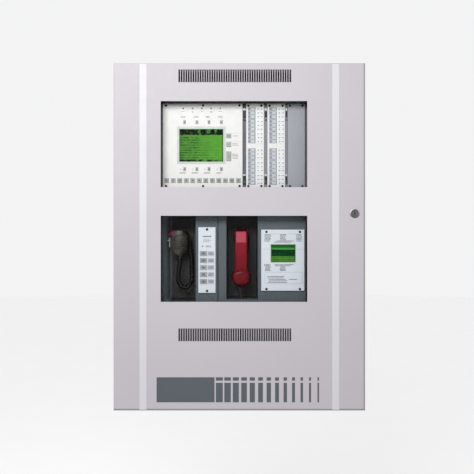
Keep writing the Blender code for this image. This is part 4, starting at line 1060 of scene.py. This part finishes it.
def make_module_gaps():
    """Grey strips of the modules' frames that show between them, with their latches and hinges."""
    display, first, second, blank = (
        (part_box(node)[0].x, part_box(node)[1].x)
        for node in ("display_panel", "annunciator_left", "annunciator_right", "blank_plate"))
    gaps = [(first[1], second[0]), (second[1], blank[0])]
    strips = bmesh.new()
    for x0, x1 in gaps:
        add_plate(strips, x0 + GAP, x1 - GAP, *FRAME_Z, PANEL_FACE + STRIP_DEPTH, FRAME_SHEET, 0.0005)
    piece("module_frame_strips", strips, "gap_grey")
    flanges = bmesh.new()
    sides = (
        (display[0] - 0.0085, display[0] - GAP),
        (display[1] + GAP, first[0] - GAP),
        (blank[1] + GAP, blank[1] + 0.0110),
    )
    for x0, x1 in sides:
        add_plate(flanges, x0, x1, *FRAME_Z, PANEL_FACE + FLANGE_DEPTH, FRAME_SHEET, 0.0005)
    piece("module_side_flanges", flanges, "flange_grey")
    dark, tab, green = bmesh.new(), bmesh.new(), bmesh.new()
    face = PANEL_FACE + STRIP_DEPTH - 0.0013
    for x0, x1 in (*gaps, (display[1], first[0])):
        x2, x3 = x0 + 0.0012, x1 - 0.0012
        for z0, z1 in LATCH_Z:
            add_plate(dark, x2 + 0.001, x3, z0, z1, face, 0.0008, 0.0010, 0.4)
        for z0, z1 in TAB_Z:
            add_plate(tab, x2, x3, z0, z1, face, 0.0016, 0.0012, 0.4)
        add_plate(green, x2 + 0.002, x3 - 0.0012, *BOARD_EDGE_Z, face - 0.0008, 0.0006, 0.0008)
        add_turned(dark, ((x0 + x1) / 2, face - 0.0008, LATCH_PIN_Z), "Y", LATCH_PIN, 16)
    piece("module_latches", dark, "screw_black")
    piece("module_latch_tabs", tab, "white_panel")
    piece("module_board_edges", green, "circuit_board")


# ---- lower window

PROUD_SCREW_RADIUS = 0.0038
PAGE_SCREWS = ((-0.0993, 0.0227), (-0.0993, -0.1668))
PHONE_SCREWS = ((0.0835, 0.0151), (0.1865, 0.0151), (0.0835, -0.1610), (0.1865, -0.1610))
PAGE_WINDOW_X = (-0.0965, -0.0775)
PAGE_WINDOW = 0.0003
PAGE_TITLE_X = (-0.1130, -0.0860)
PAGE_LAMP = (-0.1130, -0.0289)
PAGE_LAMP_LABEL_X = (-0.1050, -0.0840)
PHONE_MARK = 0.0022
# Blocks of small print: left, right, height of the first line, lines, line spacing
PHONE_PRINT = (
    (0.0760, 0.0980, 0.0068, 6, 0.0040),
    (0.1240, 0.1445, 0.0068, 5, 0.0040),
    (0.1735, 0.1940, 0.0068, 6, 0.0040),
    (0.1050, 0.1700, -0.0128, 2, 0.0036),
    (0.0730, 0.0985, -0.0858, 2, 0.0036),
    (0.1040, 0.1680, -0.0858, 2, 0.0036),
    (0.0780, 0.0980, -0.0930, 4, 0.0036),
    (0.1240, 0.1445, -0.0930, 4, 0.0036),
    (0.0815, 0.1485, -0.1220, 5, 0.0046),
    (0.1480, 0.1830, -0.1310, 1, 0.0040),
)
PHONE_RULES = (
    (0.0950, 0.1270, 0.0085),
    (0.1415, 0.1760, 0.0085),
    (0.0730, 0.0940, -0.0382),
    (0.1765, 0.1960, -0.0382),
)
PHONE_FRAME = (0.0785, 0.1945, -0.1450, -0.1085)
RULE = 0.0005


def make_page_panel():
    rng = random.Random(11)
    make_screws("page_screws", PAGE_SCREWS, PROUD_FACE, PROUD_SCREW_RADIUS, rng)
    windows, marks = bmesh.new(), bmesh.new()
    for i in range(5):
        low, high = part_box(f"page_button_{i + 1}")
        z = (low.z + high.z) / 2
        left, right = PAGE_WINDOW_X
        add_plate(windows, left, right, z - 0.0068, z + 0.0068, PROUD_FACE, PAGE_WINDOW, 0.0010)
        add_marks(marks, left + 0.001, right - 0.001, z + 0.0028, PROUD_FACE - PAGE_WINDOW, rng,
                  0.0014, 3, 0.0028)
        add_ink(marks, low.x + 0.001, right, low.z - 0.0022, low.z - 0.0019, PROUD_FACE)
    title = bmesh.new()
    add_marks(title, *PAGE_TITLE_X, 0.0010, PROUD_FACE, rng, 0.0038)
    add_marks(marks, *PAGE_TITLE_X, -0.0090, PROUD_FACE, rng, 0.0012, 3, 0.0030)
    add_marks(title, *PAGE_LAMP_LABEL_X, -0.0280, PROUD_FACE, rng, 0.0016, 2, 0.0030)
    piece("page_label_windows", windows, "label_window")
    piece("page_print", marks, "print_grey")
    piece("page_title", title, "print_dark")
    bm = bmesh.new()
    add_dome(bm, *PAGE_LAMP, PROUD_FACE, 0.0019, 0.0012, 14)
    piece("page_lamp", bm, "led_green", True)


def make_phone_panel():
    rng = random.Random(23)
    make_screws("phone_screws", PHONE_SCREWS, PROUD_FACE, PROUD_SCREW_RADIUS, rng)
    marks = bmesh.new()
    for x0, x1, z, lines, pitch in PHONE_PRINT:
        add_marks(marks, x0, x1, z, PROUD_FACE, rng, PHONE_MARK, lines, pitch)
    for x0, x1, z in PHONE_RULES:
        add_ink(marks, x0, x1, z, z + RULE, PROUD_FACE)
    x0, x1, z0, z1 = PHONE_FRAME
    for z in (z0, z1 - RULE):
        add_ink(marks, x0, x1, z, z + RULE, PROUD_FACE)
    for x in (x0, x1 - RULE):
        add_ink(marks, x, x + RULE, z0 + RULE, z1 - RULE, PROUD_FACE)
    piece("phone_print", marks, "phone_ink")


# ---- microphone and handset

# The handset's upper slope: depth and height of its two ends
SLOPE = ((-0.12405, 0.0155), (-0.13595, -0.0170))
SLOPE_HALF_WIDTH = 0.0152
# The microphone's level sections, as in the part's source: height, half width and half depth
MIC_SECTIONS = (
    (0.0215, 0.0130, 0.0090),
    (0.0185, 0.0215, 0.0135),
    (0.0080, 0.0285, 0.0168),
    (-0.0100, 0.0300, 0.0175),
    (-0.0300, 0.0285, 0.0170),
    (-0.0440, 0.0254, 0.0156),
    (-0.0530, 0.0207, 0.0136),
    (-0.0575, 0.0140, 0.0110),
    (-0.0600, 0.0080, 0.0075),
)
MIC_CENTRE = (-0.185, -0.100)
RIB_COUNT = 8
RIB_TOP = 0.0020
RIB_PITCH = 0.0058
RIB_HEIGHT = 0.0032
RIB_RISE = 0.0010
RIB_ARC = (232, 118)
RIB_STEPS = 18
RIB_SECTION = ((-0.5, -0.3), (-0.35, 0.8), (0.0, 1.0), (0.35, 0.8), (0.5, -0.3))
SQUARENESS = 0.85
MIC_BOOT = ((0.0082, 0.0), (0.0084, -0.002), (0.0070, -0.003), (0.0076, -0.0045), (0.0060, -0.0055),
            (0.0066, -0.0070), (0.0050, -0.0080), (0.0055, -0.0095), (0.0032, -0.0125))
CLIP = (-0.2196, -0.2164, -0.0326, -0.0030)
CLIP_LIP = (-0.2202, -0.2158, -0.0326, -0.0030)
CLIP_REAR = -0.0830
CLIP_FRONT = -0.0986
CLIP_STUD_AT = (-0.2258, -0.0890, -0.0120)
CLIP_STUD = ((0.0030, 0.0), (0.0041, 0.0007), (0.0041, 0.0044), (0.0034, 0.0050))
HANDSET_BOOT = ((0.0045, 0), (0.0046, -0.0022), (0.0038, -0.0032), (0.0042, -0.0052), (0.0035, -0.0064),
                (0.0038, -0.0084), (0.0032, -0.0110))
# Inset and rise of the rings of the plate that paints the highlight on the handset's slope
HIGHLIGHT_STEPS = ((0.0, 0.00003), (0.0, 0.00030), (0.0005, 0.00045))


def mic_size(z):
    """The microphone's half width and half depth at a height."""
    for (z1, x1, y1), (z2, x2, y2) in zip(MIC_SECTIONS, MIC_SECTIONS[1:]):
        if z2 <= z <= z1:
            share = (z1 - z) / (z1 - z2)
            return x1 + (x2 - x1) * share, y1 + (y2 - y1) * share
    return MIC_SECTIONS[-1][1:]


def add_mic_rib(bm, z):
    """A band round the microphone's front, standing proud of it and fading out at its sides."""
    rings = []
    for step in range(RIB_STEPS + 1):
        angle = math.radians(RIB_ARC[0] + RIB_ARC[1] * step / RIB_STEPS)
        fade = math.sin(math.pi * step / RIB_STEPS) ** 0.5
        c, s = math.cos(angle), math.sin(angle)
        ring = []
        for rise, out in RIB_SECTION:
            level = z + rise * RIB_HEIGHT
            half_x, half_y = mic_size(level)
            reach = RIB_RISE * (out if out < 0 else out * fade)
            x = MIC_CENTRE[0] + (half_x + reach) * math.copysign(abs(c) ** SQUARENESS, c)
            y = MIC_CENTRE[1] + (half_y + reach) * math.copysign(abs(s) ** SQUARENESS, s)
            ring.append((x, y, level))
        rings.append(ring)
    add_rings(bm, rings)


def make_microphone_details():
    bm = bmesh.new()
    for i in range(RIB_COUNT):
        add_mic_rib(bm, RIB_TOP - i * RIB_PITCH)
    piece("microphone_ribs", bm, "rib_black", True, "microphone")
    bm = bmesh.new()
    add_turned(bm, (*MIC_CENTRE, MIC_CORD_ROUTE[0][2] + 0.0004), "Z", MIC_BOOT, 20)
    piece("microphone_boot", bm, "cord_black", True, "microphone")
    make_clip()


def make_clip():
    """A metal sleeve bent over the clip's finger, and the head of its stud."""
    bm = bmesh.new()
    add_rings(bm, [
        rounded(*CLIP, CLIP_REAR, 0.0004, 2),
        rounded(*CLIP, CLIP_FRONT + 0.0012, 0.0004, 2),
        rounded(*CLIP_LIP, CLIP_FRONT + 0.0010, 0.0010, 2),
        rounded(*CLIP_LIP, CLIP_FRONT, 0.0010, 2),
    ])
    add_turned(bm, CLIP_STUD_AT, "X", CLIP_STUD, 18)
    piece("microphone_clip", bm, "clip_metal", True)


def make_handset_details():
    """A thin pale red plate on the handset's upper slope that paints a highlight there, and the boot round
    its cord.
    """
    low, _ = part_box("handset")
    x, y, _ = HANDSET_CORD_ROUTE[0]
    upper, lower = Vector((0, *SLOPE[0])), Vector((0, *SLOPE[1]))
    along = (lower - upper).normalized()
    out = Vector((0, along.z, -along.y))
    bm = bmesh.new()
    rings = []
    for inset, rise in HIGHLIGHT_STEPS:
        half = SLOPE_HALF_WIDTH - inset
        top, bottom = upper + along * inset + out * rise, lower - along * inset + out * rise
        rings.append([(x - half, top.y, top.z), (x + half, top.y, top.z),
                      (x + half, bottom.y, bottom.z), (x - half, bottom.y, bottom.z)])
    add_rings(bm, rings)
    piece("handset_inlay", bm, "handset_highlight", body="handset")
    bm = bmesh.new()
    add_turned(bm, (x, y, low.z + 0.0002), "Z", HANDSET_BOOT, 18)
    piece("handset_boot", bm, "handset_boot", True, "handset")


# ---- inside the cabinet

BATTERY_POLE = ((0.0075, 0), (0.0080, 0.002), (0.0080, 0.0095), (0.0060, 0.0125))
TERMINAL_COUNT = 9
TERMINAL_PITCH = 0.0100
TERMINAL_FACE = -0.040
WALL_FACE = -0.0015
WALL_HOLES = [(x, z) for x in (-0.310, 0.310) for z in (-0.470, 0.470)]
WALL_WASHER = ((0.0090, -LIFT), (0.0090, -0.0012), (0.0086, -0.0015))
WALL_HEX = ((0.0062, -0.0015), (0.0065, -0.002), (0.0065, -0.0060), (0.0058, -0.0068))


def make_cabinet_details():
    """Labels, terminals and studs that show when the door is open."""
    labels, red, black, studs, marks = (bmesh.new() for _ in range(5))
    rng = random.Random(5)
    for name in ("battery_left", "battery_right"):
        low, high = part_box(name)
        add_plate(labels, low.x + 0.030, high.x - 0.030, low.z + 0.050, low.z + 0.115, low.y, LABEL, 0.002)
        add_marks(marks, low.x + 0.036, high.x - 0.036, low.z + 0.104, low.y - LABEL, rng, 0.003, 7, 0.0075)
        for x, bm in ((low.x + 0.020, black), (high.x - 0.020, red)):
            add_turned(bm, (x, low.y + 0.008, high.z - 0.0068), "Z", BATTERY_POLE, 16)
    low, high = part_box("power_supply")
    add_plate(labels, low.x + 0.018, high.x - 0.018, high.z - 0.044, high.z - 0.014, low.y, LABEL, 0.0015)
    add_marks(marks, low.x + 0.022, high.x - 0.022, high.z - 0.020, low.y - LABEL, rng, 0.0022, 4, 0.0055)
    for x in (low.x + 0.006, high.x - 0.006):
        for z in (low.z + 0.024, high.z - 0.006):
            add_screw(studs, x, z, low.y, 0.0028, rng.uniform(0, 1.5))
    for i in range(TERMINAL_COUNT):
        x = low.x + 0.018 + i * TERMINAL_PITCH
        add_screw(studs, x, low.z + 0.006, TERMINAL_FACE, 0.0026, rng.uniform(0, 1.5), 0.0012)
    piece("cabinet_labels", labels, "label_card")
    piece("cabinet_print", marks, "print_grey")
    piece("battery_boots_red", red, "wire_red", True)
    piece("battery_boots_black", black, "wire_black", True)
    piece("cabinet_screws", studs, "zinc_steel", True)
    make_wall_screws()


def make_wall_screws():
    """A hex screw and washer in each hole of the rear wall."""
    bm = bmesh.new()
    for x, z in WALL_HOLES:
        add_turned(bm, (x, WALL_FACE, z), "Y", WALL_WASHER, 28)
        add_turned(bm, (x, WALL_FACE, z), "Y", WALL_HEX, 6)
    piece("wall_screws", bm, "zinc_steel")


# ---- all of it

make_camera()
make_materials()
make_cords()
dress_cad()
make_door_trim()
make_display_details()
make_screen_glass("display_screen", "display_lcd", DISPLAY_BEZEL, "big_screen")
make_screen_glass("phone_screen", "phone_lcd", PHONE_BEZEL, "small_screen")
make_annunciator("annunciator_left", 3)
make_annunciator("annunciator_right", 4)
screws_on_module("blank_plate", *(corner.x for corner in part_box("blank_plate")), random.Random(2))
make_module_gaps()
make_page_panel()
make_phone_panel()
make_microphone_details()
make_handset_details()
make_cabinet_details()
make_stage()
bpy.context.scene.view_settings.view_transform = "Standard"
